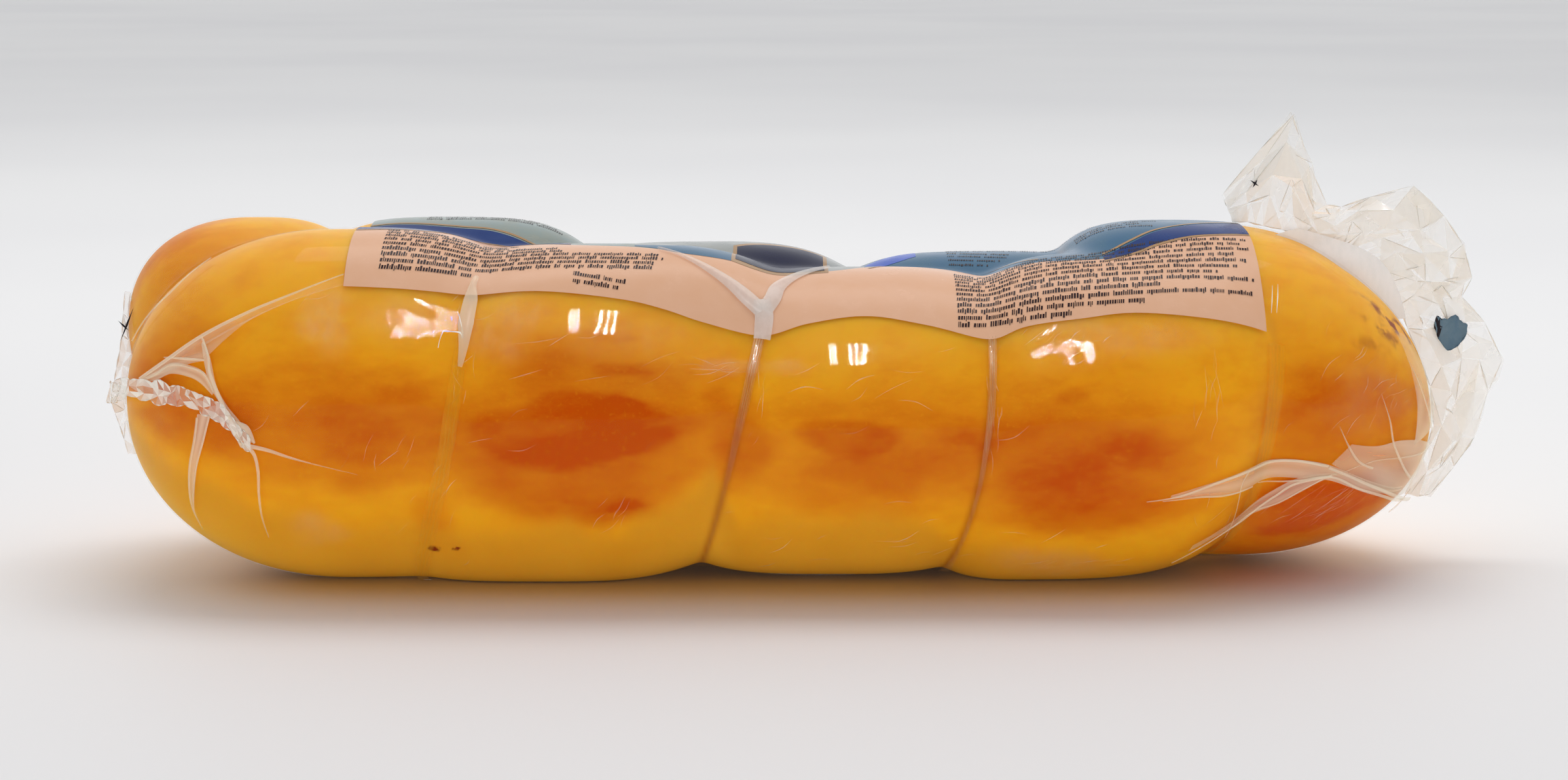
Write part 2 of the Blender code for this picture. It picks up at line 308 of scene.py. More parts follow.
class Shading:
    """A material's node tree, with short calls for what the materials here share."""

    def __init__(self, name):
        self.material = bpy.data.materials.new(name)
        self.material.use_nodes = True
        self.tree = self.material.node_tree
        self.tree.nodes.clear()
        self.place = self.node("ShaderNodeTexCoord").outputs["Object"]

    def node(self, kind, inputs=None, **settings):
        made = self.tree.nodes.new(kind)
        for name, value in settings.items():
            setattr(made, name, value)
        for name, value in (inputs or {}).items():
            if isinstance(value, bpy.types.NodeSocket):
                self.tree.links.new(value, made.inputs[name])
            else:
                made.inputs[name].default_value = value
        return made

    def value(self, name):
        return self.node("ShaderNodeAttribute", attribute_name=name).outputs["Fac"]

    def noise(self, scale, detail=3.0, roughness=0.5, stretch=(1.0, 1.0, 1.0), distortion=0.0):
        stretched = self.node("ShaderNodeMapping", {"Vector": self.place, "Scale": stretch})
        inputs = {
            "Vector": stretched.outputs["Vector"],
            "Scale": scale,
            "Detail": detail,
            "Roughness": roughness,
            "Distortion": distortion,
        }
        return self.node("ShaderNodeTexNoise", inputs).outputs["Fac"]

    def ramp(self, factor, low, high, start=0.0, end=1.0):
        """Start up to the factor low, end from the factor high, and smooth between."""
        inputs = {"Value": factor, "From Min": low, "From Max": high, "To Min": start, "To Max": end}
        return self.node("ShaderNodeMapRange", inputs, interpolation_type="SMOOTHSTEP").outputs["Result"]

    def math(self, operation, first, second):
        return self.node("ShaderNodeMath", {0: first, 1: second}, operation=operation).outputs[0]

    def mix(self, factor, first, second):
        inputs = {"Factor": factor, 6: first, 7: second}
        return self.node("ShaderNodeMix", inputs, data_type="RGBA").outputs[2]

    def bump(self, height, strength, distance):
        inputs = {"Height": height, "Strength": strength, "Distance": distance * MM}
        return self.node("ShaderNodeBump", inputs).outputs["Normal"]

    def blend(self, factor, first, second):
        return self.node("ShaderNodeMixShader", {"Fac": factor, 1: first, 2: second}).outputs[0]

    def principled(self, inputs):
        return self.node("ShaderNodeBsdfPrincipled", inputs).outputs[0]

    def finish(self, shader):
        output = self.node("ShaderNodeOutputMaterial")
        self.tree.links.new(shader, output.inputs["Surface"])
        return self.material


AMBER = srgb(252, 177, 28)
SMOKED = srgb(207, 84, 0)
YELLOW = srgb(230, 162, 38)
# The underside's pale yellow, made brighter still as painted light bounced up from the floor.
UNDERSIDE_AND_BOUNCE_LIGHT = srgb(250, 184, 52)
RIND_BROWN = srgb(140, 54, 14)
# Painted shade: the brown that darkens the creases.
PAINTED_CREASE_SHADE = srgb(160, 62, 8)
PORE_YELLOW = srgb(250, 184, 36)
CHEESE_GLOSS = 0.05
CHEESE_DEPTH = 0.009


def cheese_material():
    """Amber cheese, smoked darker in patches, paler and yellower low down, faintly mottled and pored, with
    painted bounce light underneath and painted shade in the creases.
    """
    s = Shading("smoked_cheese")
    mottle = s.noise(45.0, 4.0, 0.6, (0.7, 1.0, 1.0), 0.6)
    smoke = s.math("ADD", s.value("smoke"), s.ramp(mottle, 0.35, 0.75, -0.08, 0.08))
    grain = s.ramp(s.noise(130.0, 4.0, 0.65, (0.6, 1.0, 1.3)), 0.35, 0.7, -0.08, 0.09)
    colour = s.mix(s.math("ADD", smoke, grain), AMBER, SMOKED)
    pale = s.math("ADD", s.value("pale"), s.ramp(s.noise(30.0, 3.0), 0.35, 0.7, -0.08, 0.08))
    colour = s.mix(s.ramp(pale, 0.0, 1.0), colour, YELLOW)
    # Painted bounce light: low down the cheese is brighter than its own pale yellow.
    colour = s.mix(s.value("belly"), colour, UNDERSIDE_AND_BOUNCE_LIGHT)
    pores = s.ramp(s.noise(900.0, 2.0, 0.6), 0.55, 0.8, 0.0, 0.16)
    colour = s.mix(pores, colour, PORE_YELLOW)
    spots = s.math("MULTIPLY", s.value("spots"), s.ramp(s.noise(240.0, 3.0, 0.6), 0.42, 0.62))
    colour = s.mix(spots, colour, RIND_BROWN)
    # Painted shade: the creases darkened to brown where the lobes meet.
    colour = s.mix(s.value("crease"), colour, PAINTED_CREASE_SHADE)
    relief = s.math("ADD", mottle, s.math("MULTIPLY", s.noise(500.0, 3.0), 0.12))
    inputs = {
        "Base Color": colour,
        "Roughness": s.ramp(mottle, 0.3, 0.7, 0.42, 0.55),
        "Specular IOR Level": CHEESE_GLOSS,
        "Subsurface Weight": 0.6,
        "Subsurface Radius": (1.0, 0.5, 0.15),
        "Subsurface Scale": CHEESE_DEPTH,
        "Normal": s.bump(relief, 0.25, 0.5),
    }
    return s.finish(s.principled(inputs))


FILM_WHITE = srgb(250, 234, 204)
FILM_ROUGHNESS = 0.02
FILM_RELIEF = 0.06
# The share of light that the film mirrors: seen straight on, and how much more it is at the rim.
FILM_SHINE = 0.006
RIM_SHINE = 0.25
HAZE_ROUGHNESS = 0.3
HAZE_GLOSS = 0.15


def film_bump(s):
    """Slow waves, ripples and painted crinkles, which break reflections into streaks and specks."""
    waves = s.math("MULTIPLY", s.noise(45.0, 1.0), 0.15)
    ripples = s.math("MULTIPLY", s.noise(300.0, 1.0, 0.5, (1.0, 1.0, 0.6)), 0.045)
    specks = s.math("MULTIPLY", s.noise(420.0, 1.0, 0.5, (1.0, 1.0, 0.6), 1.0), s.value("crinkle"))
    return s.bump(s.math("ADD", s.math("ADD", waves, ripples), specks), 1.0, FILM_RELIEF)


def film_material(name, haze=0.0, white=FILM_WHITE, cloudy=1.0, through=0.0):
    """Clear film: what is behind it shows, under its gloss and a haze where it is painted.

    Haze is the least haze, white its colour, cloudy how uneven the painted haze is, and through the share of
    it that is lit from behind.
    """
    s = Shading(name)
    normal = film_bump(s)
    clear = s.node("ShaderNodeBsdfTransparent").outputs[0]
    gloss = s.node("ShaderNodeBsdfGlossy", {"Roughness": FILM_ROUGHNESS, "Normal": normal}).outputs[0]
    facing = s.node("ShaderNodeLayerWeight", {"Blend": 0.5, "Normal": normal}).outputs["Facing"]
    glancing = s.math("MULTIPLY", s.math("POWER", facing, 5.0), RIM_SHINE)
    film = s.blend(s.math("ADD", glancing, FILM_SHINE), clear, gloss)
    inputs = {
        "Base Color": white,
        "Roughness": HAZE_ROUGHNESS,
        "Specular IOR Level": HAZE_GLOSS,
        "Normal": normal,
    }
    facing_light = s.principled(inputs)
    lit_through = s.node("ShaderNodeBsdfTranslucent", {"Color": white}).outputs[0]
    hazy = s.blend(through, facing_light, lit_through)
    uneven = s.noise(260.0, 4.0, 0.65, (1.0, 1.0, 0.4))
    cloud = s.ramp(uneven, 0.35, 0.7, 1.0 - 0.4 * cloudy, 1.0 + 0.3 * cloudy)
    share = s.math("ADD", s.math("MULTIPLY", s.value("haze"), cloud), haze)
    return s.finish(s.blend(share, film, hazy))


SLACK_INK = srgb(200, 184, 172)
WORN_SHARE = 0.85
INK_ROUGHNESS = 0.2
INK_GLOSS = 0.06


def print_material(name, colour, worn=None):
    """Ink on the film: worn in places, to a darker shade if none is given, and paler over a gap."""
    s = Shading(name)
    uneven = s.noise(160.0, 4.0, 0.6)
    worn = worn or tuple(WORN_SHARE * value for value in colour[:3]) + (1.0,)
    ink = s.mix(s.ramp(uneven, 0.3, 0.75, 0.0, 0.45), colour, worn)
    ink = s.mix(s.ramp(s.value("gap"), 0.9, 3.0, 0.0, 0.55), ink, SLACK_INK)
    inputs = {
        "Base Color": ink,
        "Roughness": s.ramp(uneven, 0.3, 0.7, INK_ROUGHNESS, INK_ROUGHNESS + 0.08),
        "Specular IOR Level": INK_GLOSS,
        "Normal": film_bump(s),
    }
    return s.finish(s.principled(inputs))


# ---------------------------------------------------------------- cheese and film

# Smoked darker places, and lighter ones: x, angle, half length, half height, strength and crispness.
SMOKED_PATCHES = (
    (-118, 3, 34, 19, 0.4, 2),
    (-110, 1, 36, 17, 0.14, 3),
    (-52, 13, 30, 15, 0.24, 2),
    (-26, 8, 9, 16, 0.2, 2),
    (-55, -1, 33, 24, 0.36, 3),
    (14, -5, 31, 19, 0.44, 2.5),
    (66, -4, 34, 24, 0.36, 3),
    (130, -6, 26, 36, 0.46, 2),
    (142, 14, 12, 20, 0.2, 1.5),
    (-104, 2, 22, 10, 0.12, 8),
    (-91, -31, 6, 13, 0.35, 2),
    (-150, 3, 16, 9, 0.3, 3),
    (-158, 26, 16, 16, 0.4, 1.5),
    (-160, 10, 10, 22, 0.2, 2),
    (-58, 1, 24, 10, 0.34, 7),
    (-42, 4, 14, 5, 0.16, 3),
    (-44, 4, 7, 2, -0.25, 3),
    (-58, -12, 31, 12, 0.32, 4),
    (-43, 17, 7, 1.8, 0.2, 3),
    (-49.5, 26, 6, 1.4, 0.2, 2),
    (-68, 22, 16, 8, 0.16, 1.5),
    (-47, -22.5, 9, 3.2, 0.36, 1.5),
    (-44, -20.5, 5, 1.6, 0.3, 2),
    (9, -0.5, 12.5, 5.2, 0.3, 7),
    (18, -9, 18, 5.5, 0.22, 2.5),
    (-18, 0, 7, 18, 0.4, 2),
    (61, -3, 23, 11, 0.24, 3),
    (72, -15, 26, 15, 0.26, 4),
    (61, 9.5, 4.8, 2, 0.25, 3),
    (60, -20, 28, 9, 0.22, 4),
    (121, 8, 11, 19, 0.24, 1.5),
    (126, -35, 30, 14, 0.62, 2.5),
    (126, -60, 34, 18, 0.72, 2),
)
# Below these angles the cheese is pale and yellow: x and the angle.
PALE_EDGE = (
    (-172, 0), (-160, -8), (-150, -14), (-134, -19), (-108, -23), (-89, -24), (-80, -25),
    (-75, -26), (-66, -22), (-59, -21), (-54, -27), (-47, -27), (-42, -20), (-34, -18), (-28, -14),
    (-24, -8), (-18, -23), (-10, -21), (12, -20), (28, -22), (36, -36), (48, -31), (58, -34),
    (70, -37), (80, -40), (92, -46), (98, -60), (104, -88), (150, -92),
)
# Places with small brown spots.
SPOTTED = (
    (-94.4, -35, 1.0, 0.9, 3.0, 2),
    (-88.6, -34, 1.1, 0.7, 3.0, 2),
    (142, 60, 3, 5, 0.9, 1.5),
    (146, 57, 3, 6, 1.2, 1.5),
    (148, 66, 3, 7, 1.2, 1.5),
    (145, 45, 4, 5, 0.7, 1.5),
    (140, 46, 3, 4, 0.5, 1.5),
    (137, 34, 4, 4, 0.4, 1.0),
    (138, 63, 3, 4, 0.5, 1.5),
)
# Smoked places over the top of the left end, by their true angles.
SMOKED_BEHIND = (
    (-164, 110, 13, 18, 0.6, 1.5),
    (-158, 74, 18, 26, 0.3, 2),
    (-142, 93, 12, 5, 0.2, 1.5),
    (-150, 150, 20, 24, 0.3, 1.5),
)
# Places where the film is crinkled.
CRINKLED = (
    (-99, 27, 9, 6, 0.55, 2),
    (-88, 26, 3, 10, 0.7, 2),
    (59, 21, 5, 5, 0.5, 2),
    (-72, 34, 6, 4, 0.3, 2),
    (140, 10, 12, 22, 0.3, 2),
    (126, -34, 20, 12, 0.3, 2),
)
# Places where the film is clouded, and on the first front lobe's top, at x -117 and -97, a painted sheen and
# painted glints: x, angle, half length, half height, strength and crispness.
CLOUDS_AND_SHEEN = (
    # Painted sheen on the top of the first front lobe.
    (-117, 31, 6, 9, 0.13, 2),
    # Painted glints beside the first crease.
    (-97, 31, 9, 6, 0.04, 2),
    (-74, 30, 9, 9, 0.09, 2),
    (-46, 27, 14, 7, 0.04, 2),
    (-21, 18, 6.5, 2.2, 0.1, 4),
    (-8, 18, 6, 2.4, 0.07, 3),
    (72, 27, 24, 5, 0.06, 2),
    (58, -42, 14, 8, 0.08, 2),
    (-121, -29, 6, 6, 0.07, 2),
    (138, 10, 12, 16, 0.05, 2),
    (-162, -8, 9, 16, 0.04, 2),
    (124, -40, 22, 10, 0.02, 2),
)
# How much painted shade darkens the creases, as a brown over the cheese: x and the share.
CREASE_SHADE_SHARES = ((-90, 0.1), (-55, 0.6), (60, 0.6), (92, 0.1))
CREASE_SHADE_WIDTH = 0.6
# The haze all over the film's upper half, and where it bridges a crease.
UPPER_HAZE = 0.022
BRIDGE_HAZE = 0.05
# How far along the back's looks follow the front's.
BACK_SHIFT = 38.0


def front_like(x, angle):
    """The place in front that this place looks like: the back follows the front, half a pitch along."""
    behind = (angle > 90) & (angle < 270)
    in_front = np.where(angle > 180, angle - 360, angle)
    return np.where(behind, x + BACK_SHIFT, x), np.where(behind, 180 - angle, in_front)


def patches(x, angle, table):
    """The sum of rounded patches with wavering edges."""
    over = x + 1.6 * np.sin(angle / 4.1 + x / 17.0) + 0.9 * np.sin(angle / 2.1 - x / 9.0)
    round_to = angle + 0.9 * np.sin(x / 6.3 + angle / 19.0) + 0.4 * np.sin(x / 2.9 + 1.0)
    total = 0.0
    for at_x, at_angle, half_x, half_angle, strength, crispness in table:
        far = ((over - at_x) / half_x) ** 2 + ((round_to - at_angle) / half_angle) ** 2
        total = total + strength * np.exp(-(far**crispness))
    return total


def add_cheese():
    made, points, reach = add_shell("cheese", CHEESE, cheese_material())
    around = angle_round(points)
    x, angle = front_like(points[:, 0], around)
    below = np.interp(x, *zip(*PALE_EDGE)) - angle - 1.2 * np.sin(x / 3.7)
    # Painted shade along the creases, strongest where two lobes meet.
    levels = np.sort(np.stack([lobe_level(points, lobe) for lobe in LOBES]), axis=0)
    crease_shade_mask = np.exp(-(((levels[1] - levels[0]) / CREASE_SHADE_WIDTH) ** 2))
    paint(
        made,
        smoke=0.1 + patches(x, angle, SMOKED_PATCHES) + patches(points[:, 0], around, SMOKED_BEHIND),
        pale=0.75 * smoothstep(-5.0, 8.0, below) + 0.25 * smoothstep(5.0, 25.0, below),
        # Low down: the paler underside, brightened further as painted light from the floor.
        belly=smoothstep(6.0, 34.0, below),
        spots=patches(x, angle, SPOTTED),
        # Painted shade along the creases.
        crease=np.interp(points[:, 0], *zip(*CREASE_SHADE_SHARES)) * crease_shade_mask,
    )
    return made, reach


def add_film(cheese_reach):
    made, points, reach = add_shell("film", FILM, film_material("clear_shrink_film"))
    x, angle = front_like(points[:, 0], angle_round(points))
    # Clouded film, with painted sheen and glints on the first front lobe.
    clouds_and_sheen = patches(x, angle, CLOUDS_AND_SHEEN) + UPPER_HAZE * smoothstep(12.0, 50.0, angle)
    bridged = with_poles(BRIDGE_HAZE * smoothstep(0.9, 1.6, reach - cheese_reach))
    paint(made, haze=clouds_and_sheen + bridged, crinkle=patches(x, angle, CRINKLED))
    return made


# ---------------------------------------------------------------- printed label

LABEL_LIFT = 0.12
LAYER_STEP = 0.05


def gap_at(x, angle):
    """How far the film stands off the cheese."""
    film = surface(x, angle, FILM)
    cheese = surface(x, angle, CHEESE)
    return np.linalg.norm(film - cheese, axis=-1)


def add_sheet(name, lower, upper, material, lift, columns, rows):
    """A sheet on the film between two edges, given from left to right, and its places."""
    u, v = grid_shares(columns, rows)
    low, high = smooth(lower, u), smooth(upper, u)
    place = low + (high - low) * v[..., None]
    points = surface(place[..., 0], place[..., 1], FILM, lift)
    made = add_mesh(name, points, grid_faces(columns, rows), material)
    return made, place


def add_field(name, lower, upper, material, layer, columns, rows):
    """A printed field of the label."""
    lift = LABEL_LIFT + layer * LAYER_STEP
    made, place = add_sheet(name, lower, upper, material, lift, columns, rows)
    paint(made, gap=gap_at(place[..., 0], place[..., 1]))


BAND_ROWS = 7


def band(stations, half_widths, u, sides):
    """The places of a band that follows the stations, at each share along it and each side, from -1 to 1."""
    path = smooth(stations, u)
    ahead = np.gradient(path, axis=0) * (1.0, MM_PER_DEGREE)
    ahead /= np.linalg.norm(ahead, axis=-1, keepdims=True)
    half = spread(half_widths, u)
    out = np.stack([-ahead[..., 1], ahead[..., 0] / MM_PER_DEGREE], axis=-1)
    return np.stack([path + out * (half * side)[..., None] for side in sides], axis=1)


def add_band(name, stations, half_widths, material, lift, columns, arch=0.0, haze=0.6):
    """A narrow band along the stations, hazier where it is wider; arch lifts its middle off the surface."""
    u = np.linspace(0, 1, columns)
    sides = np.linspace(-1, 1, BAND_ROWS)
    places = band(stations, half_widths, u, sides)
    lifts = lift + arch * (1 - sides**2)[None, :]
    points = surface(places[..., 0], places[..., 1], FILM, lifts)
    made = add_mesh(name, points, grid_faces(columns, BAND_ROWS), material)
    width = spread(half_widths, u) / max(half_widths)
    paint(made, haze=haze * np.sqrt(width)[:, None] + 0 * points[..., 0])
    return made


# The label's front edge, the line where its front field meets those behind, and its far edge.
FRONT_EDGE = (
    (-113, 40), (-98, 39.5), (-82, 39), (-65, 39), (-46, 37), (-36, 34.5), (-26, 31), (-12, 28),
    (-1, 31.5), (13, 34), (27, 31), (42, 27), (51, 30), (64, 32), (77, 34), (94, 33), (110, 31.5),
)
RIDGE_EDGE = (
    (-113, 71), (-104, 73), (-95, 75), (-88, 82), (-79, 85), (-70, 74), (-58, 68), (-45, 65),
    (-33, 61), (-21, 60), (-8, 60), (6, 62), (22, 78), (33, 82), (45, 66), (58, 61), (72, 61),
    (84, 69), (93, 75), (102, 78), (110, 82),
)
BACK_EDGE = (
    (-113, 142), (-90, 140), (-66, 145), (-45, 138), (-26, 143), (-8, 140), (10, 146), (30, 139),
    (48, 141), (66, 146), (88, 139), (110, 142),
)


EDGE_STEPS = 400


def part_of(edge, left, right, count):
    """The stretch of an edge between two x, as evenly spaced stations."""
    path = smooth(edge, np.linspace(0, 1, EDGE_STEPS))
    x = np.linspace(left, right, count)
    return [(float(a), float(np.interp(a, path[:, 0], path[:, 1]))) for a in x]


# The label's inks: the colour, and the one that it has worn to in places.
INKS = {
    "pink": (srgb(230, 180, 146), srgb(234, 188, 158)),
    "beige": (srgb(138, 152, 150), srgb(158, 154, 134)),
    "grey": (srgb(160, 162, 158), srgb(140, 146, 148)),
    "pale_blue": (srgb(60, 102, 134), srgb(76, 112, 130)),
    "blue": (srgb(0, 46, 112), srgb(8, 56, 122)),
    "navy": (srgb(12, 16, 52), srgb(16, 22, 62)),
    "tan": (srgb(176, 140, 100), srgb(160, 122, 84)),
    "bright_blue": (srgb(40, 84, 190),),
}
# The label behind the ridge: name, left and right x, and ink.
BACK_FIELDS = (
    ("label_back_left", -113, -44, "beige"),
    ("label_back_middle", -44, 13, "grey"),
    ("label_back_right", 13, 110, "pale_blue"),
)
# Fields printed over it: name, ink, layer, columns and rows, lower edge and upper edge.
RIBBONS = (
    (
        "ribbon_left", "blue", 1, (70, 12),
        ((-113, 70), (-104, 72), (-95, 74), (-88, 81), (-79, 84), (-70, 75), (-60, 69)),
        ((-113, 100), (-104, 99), (-96, 97), (-89, 95), (-80, 93), (-70, 86), (-60, 71)),
    ),
    (
        "ribbon_middle", "pale_blue", 1, (40, 16),
        ((-44, 66), (-38, 63), (-33, 60), (-27, 59), (-20, 59)),
        ((-44, 68), (-38, 69), (-33, 72), (-27, 84), (-20, 96)),
    ),
    (
        "ribbon_right", "blue", 1, (50, 12),
        ((72, 60), (80, 65), (86, 70), (94, 75), (102, 78), (110, 82)),
        ((72, 64), (80, 72), (86, 79), (94, 86), (102, 93), (110, 103)),
    ),
)
# Thin lines along the ribbons and over the middle.
LINES = (
    ("line_left_low", ((-113, 69), (-104, 71), (-95, 73), (-88, 80), (-79, 83), (-70, 74))),
    (
        "line_left_high",
        ((-113, 101.5), (-104, 100.5), (-96, 98.5), (-89, 96.5), (-80, 94.5), (-70, 87.5), (-60, 72)),
    ),
    ("line_right_low", ((72, 59), (80, 64), (86, 69), (94, 74), (102, 77), (110, 81))),
    ("line_right_high", ((72, 66), (80, 74), (86, 81), (94, 88), (102, 95), (110, 105))),
    ("line_middle", ((14, 66), (22, 80), (33, 86), (45, 74), (56, 66))),
)
LINE_HALF_WIDTHS = (0.4, 0.4)
# The badge in its rim, and a wedge of ink beside it, as fields like the ribbons.
BADGES = (
    (
        "badge_rim", "tan", 1, (36, 30),
        ((-20, 59), (-15, 57), (-7, 57), (4, 59)),
        ((-20, 106), (-15, 111), (-7, 113), (4, 115)),
    ),
    (
        "badge", "navy", 2, (36, 30),
        ((-19, 62), (-14, 60), (-7, 60), (3, 62)),
        ((-19, 104), (-14, 108), (-7, 110), (3, 112)),
    ),
    (
        "wedge", "bright_blue", 1, (20, 10),
        ((12, 100), (17, 101), (22, 103), (27, 108)),
        ((12, 112), (17, 116), (22, 119), (27, 121)),
    ),
)
TOP_LAYER = 2
LINE_COLUMNS = 80
STATION_STEP = 8.0
COLUMNS_PER_MM = 1.1
BACK_ROWS = 60


def add_fields(table, inks):
    """The printed fields of a table."""
    for name, ink, layer, (columns, rows), lower, upper in table:
        add_field(name, lower, upper, inks[ink], layer, columns, rows)


def add_label():
    inks = {name: print_material(f"print_{name}", *tones) for name, tones in INKS.items()}
    add_field("label_front", FRONT_EDGE, RIDGE_EDGE, inks["pink"], 0, 230, 40)
    for name, left, right, ink in BACK_FIELDS:
        count = max(6, int((right - left) / STATION_STEP))
        lower = part_of(RIDGE_EDGE, left, right, 3 * count)
        upper = part_of(BACK_EDGE, left, right, count)
        columns = int((right - left) * COLUMNS_PER_MM)
        add_field(name, lower, upper, inks[ink], 0, columns, BACK_ROWS)
    add_fields(RIBBONS, inks)
    top = LABEL_LIFT + TOP_LAYER * LAYER_STEP
    for name, stations in LINES:
        add_band(name, stations, LINE_HALF_WIDTHS, inks["tan"], top, LINE_COLUMNS)
    add_fields(BADGES, inks)


# Rows of small print: the left ends' angles from the first row to the last, the right ends' angles, the x
# of the left end and of each row's right end, and the letters' height.
PRINT_BLOCKS = (
    ((68.5, 46.0), (66.5, 46.0), -105, (-73, -75, -62, -62, -38, -37, -39, -39, -83), 1.05),
    ((45.0, 42.2), (42.0, 39.6), -58, (-45, -47), 0.95),
    ((60.0, 30.5), (74.0, 37.5), 35, (108, 106, 108, 104, 108, 104, 99, 108, 85, 107, 80, 62), 1.05),
    ((110.0, 94.0), (107.0, 93.0), 35, (51, 50, 48, 45), 1.0),
    ((97.0, 90.0), (97.0, 86.0), 67, (88, 84, 86), 1.0),
    ((114.0, 105.0), (112.0, 106.0), -99, (-70, -66, -64), 1.0),
    ((136.0, 118.0), (134.0, 116.0), -99, (-66, -72, -64, -70, -68), 1.05),
    ((136.0, 116.0), (136.0, 116.0), 35, (98, 92, 100, 90, 96, 84), 1.05),
)
# Shares of the letters' height: the least and greatest width, the gaps, how high a tall letter rises, how
# low a long one hangs, and the slant.
LETTER_WIDTHS = (0.16, 0.5)
LETTER_GAP = 0.2
WORD_GAP = 0.8
TALL = 1.4
FOOT = -0.4
SLANT = 0.12
# A letter's kind is drawn from 0 to 1: it is tall below the first of these, and long above the second.
TALL_BELOW = 0.22
LONG_ABOVE = 0.9
# The least and the most letters in a word.
WORD_LETTERS = (3, 16)
PRINT_SEED = 21


def print_row(draw, x, angle, end, slope, height):
    """The corners of a row of marks the size of letters, in words, which say nothing."""
    marks = []
    while x < end:
        for _ in range(draw.randint(*WORD_LETTERS)):
            width = height * draw.uniform(*LETTER_WIDTHS)
            kind = draw.random()
            top = TALL if kind < TALL_BELOW else 1.0
            foot = FOOT if kind > LONG_ABOVE else 0.0
            low = angle + foot * height / MM_PER_DEGREE
            high = angle + top * height / MM_PER_DEGREE
            slant = SLANT * height
            marks.append(((x, low), (x + width, low), (x + width + slant, high), (x + slant, high)))
            step = width + LETTER_GAP * height
            x += step
            angle += slope * step
            if x > end:
                return marks
        x += WORD_GAP * height
        angle += slope * WORD_GAP * height
    return marks


def add_small_print():
    """All the rows of small print as one mesh."""
    ink = print_material("print_ink", srgb(52, 36, 38), srgb(66, 48, 48))
    draw = random.Random(PRINT_SEED)
    marks = []
    for left_angles, right_angles, left, ends, height in PRINT_BLOCKS:
        widest = max(ends)
        for row, end in enumerate(ends):
            share = row / max(1, len(ends) - 1)
            angle = left_angles[0] + (left_angles[1] - left_angles[0]) * share
            far = right_angles[0] + (right_angles[1] - right_angles[0]) * share
            marks += print_row(draw, left, angle, end, (far - angle) / (widest - left), height)
    places = np.array(marks)
    points = surface(places[..., 0], places[..., 1], FILM, LABEL_LIFT + TOP_LAYER * LAYER_STEP)
    faces = np.arange(len(marks) * 4).reshape(-1, 4).tolist()
    made = add_mesh("small_print", points, faces, ink)


# ---------------------------------------------------------------- folds of the film

# Sheets of slack film between two lines: lower edge, upper edge, and the haze at both ends.
WEBS = (
    (
        "left_main",
        (
            (-164, 16), (-157, 18), (-150, 20), (-146, 20.5), (-145, 22),
            (-136, 30), (-125, 35.5), (-113, 40),
        ),
        (
            (-164, 17), (-160, 19.5), (-156, 22), (-151, 25), (-147, 27.5),
            (-136, 32.5), (-124, 37.5), (-113, 43),
        ),
        (0.5, 0.03),
    ),
    (
        "left_arc",
        ((-163, 15.5), (-159, 16), (-155, 17.5), (-150, 16), (-147, 14), (-144, 10.5)),
        ((-163, 16.5), (-159, 18.5), (-155, 20.3), (-150, 19), (-146, 17), (-143.5, 12)),
        (0.5, 0.4),
    ),
    (
        "left_side",
        ((-147, 25.5), (-146, 19), (-144.5, 13), (-142, 8), (-139.5, 3), (-137.5, -2)),
        ((-146.5, 27), (-144.5, 20.5), (-143, 13.5), (-140.5, 8), (-136.5, 2.5), (-133.5, -2.5)),
        (0.45, 0.4),
    ),
    (
        "left_ribbon",
        ((-148, 5), (-149, -3), (-150.5, -11), (-151.3, -20), (-151.3, -28), (-150, -34)),
        ((-144.5, 5), (-146.5, -3), (-148.6, -11), (-150, -20), (-150.8, -28), (-149.9, -34)),
        (0.45, 0.3),
    ),
    (
        "right_main",
        (
            (86, -18), (96, -18.5), (104, -20.5), (112, -19), (120, -20.5),
            (127, -23), (134, -30), (142, -40), (148, -50),
        ),
        (
            (86, -17), (96, -14.5), (106, -12.6), (112, -12), (119, -13),
            (126, -16), (133, -22.5), (141, -33), (148, -46),
        ),
        (0.3, 0.5),
    ),
    (
        "right_low",
        ((92, -40), (99, -36.5), (105, -35.5), (112, -32), (118, -27.5), (124, -23), (129, -21)),
        ((93, -37), (100, -33.5), (106, -30.5), (112, -25), (117, -21), (122, -19.5), (128, -20)),
        (0.24, 0.4),
    ),
    (
        "right_rim",
        ((145, 50), (148, 36), (149.5, 22), (150.5, 8), (150.5, -6), (150, -20)),
        ((150, 54), (154, 38), (156.5, 22), (157.2, 8), (157.2, -6), (156.5, -20)),
        (0.12, 0.45),
    ),
    (
        "right_end",
        ((127, -16), (133, -23), (139, -32), (145, -46), (150, -62)),
        ((132, -9), (139, -12), (146, -13), (152, -20), (156, -34)),
        (0.26, 0.5),
    ),
)
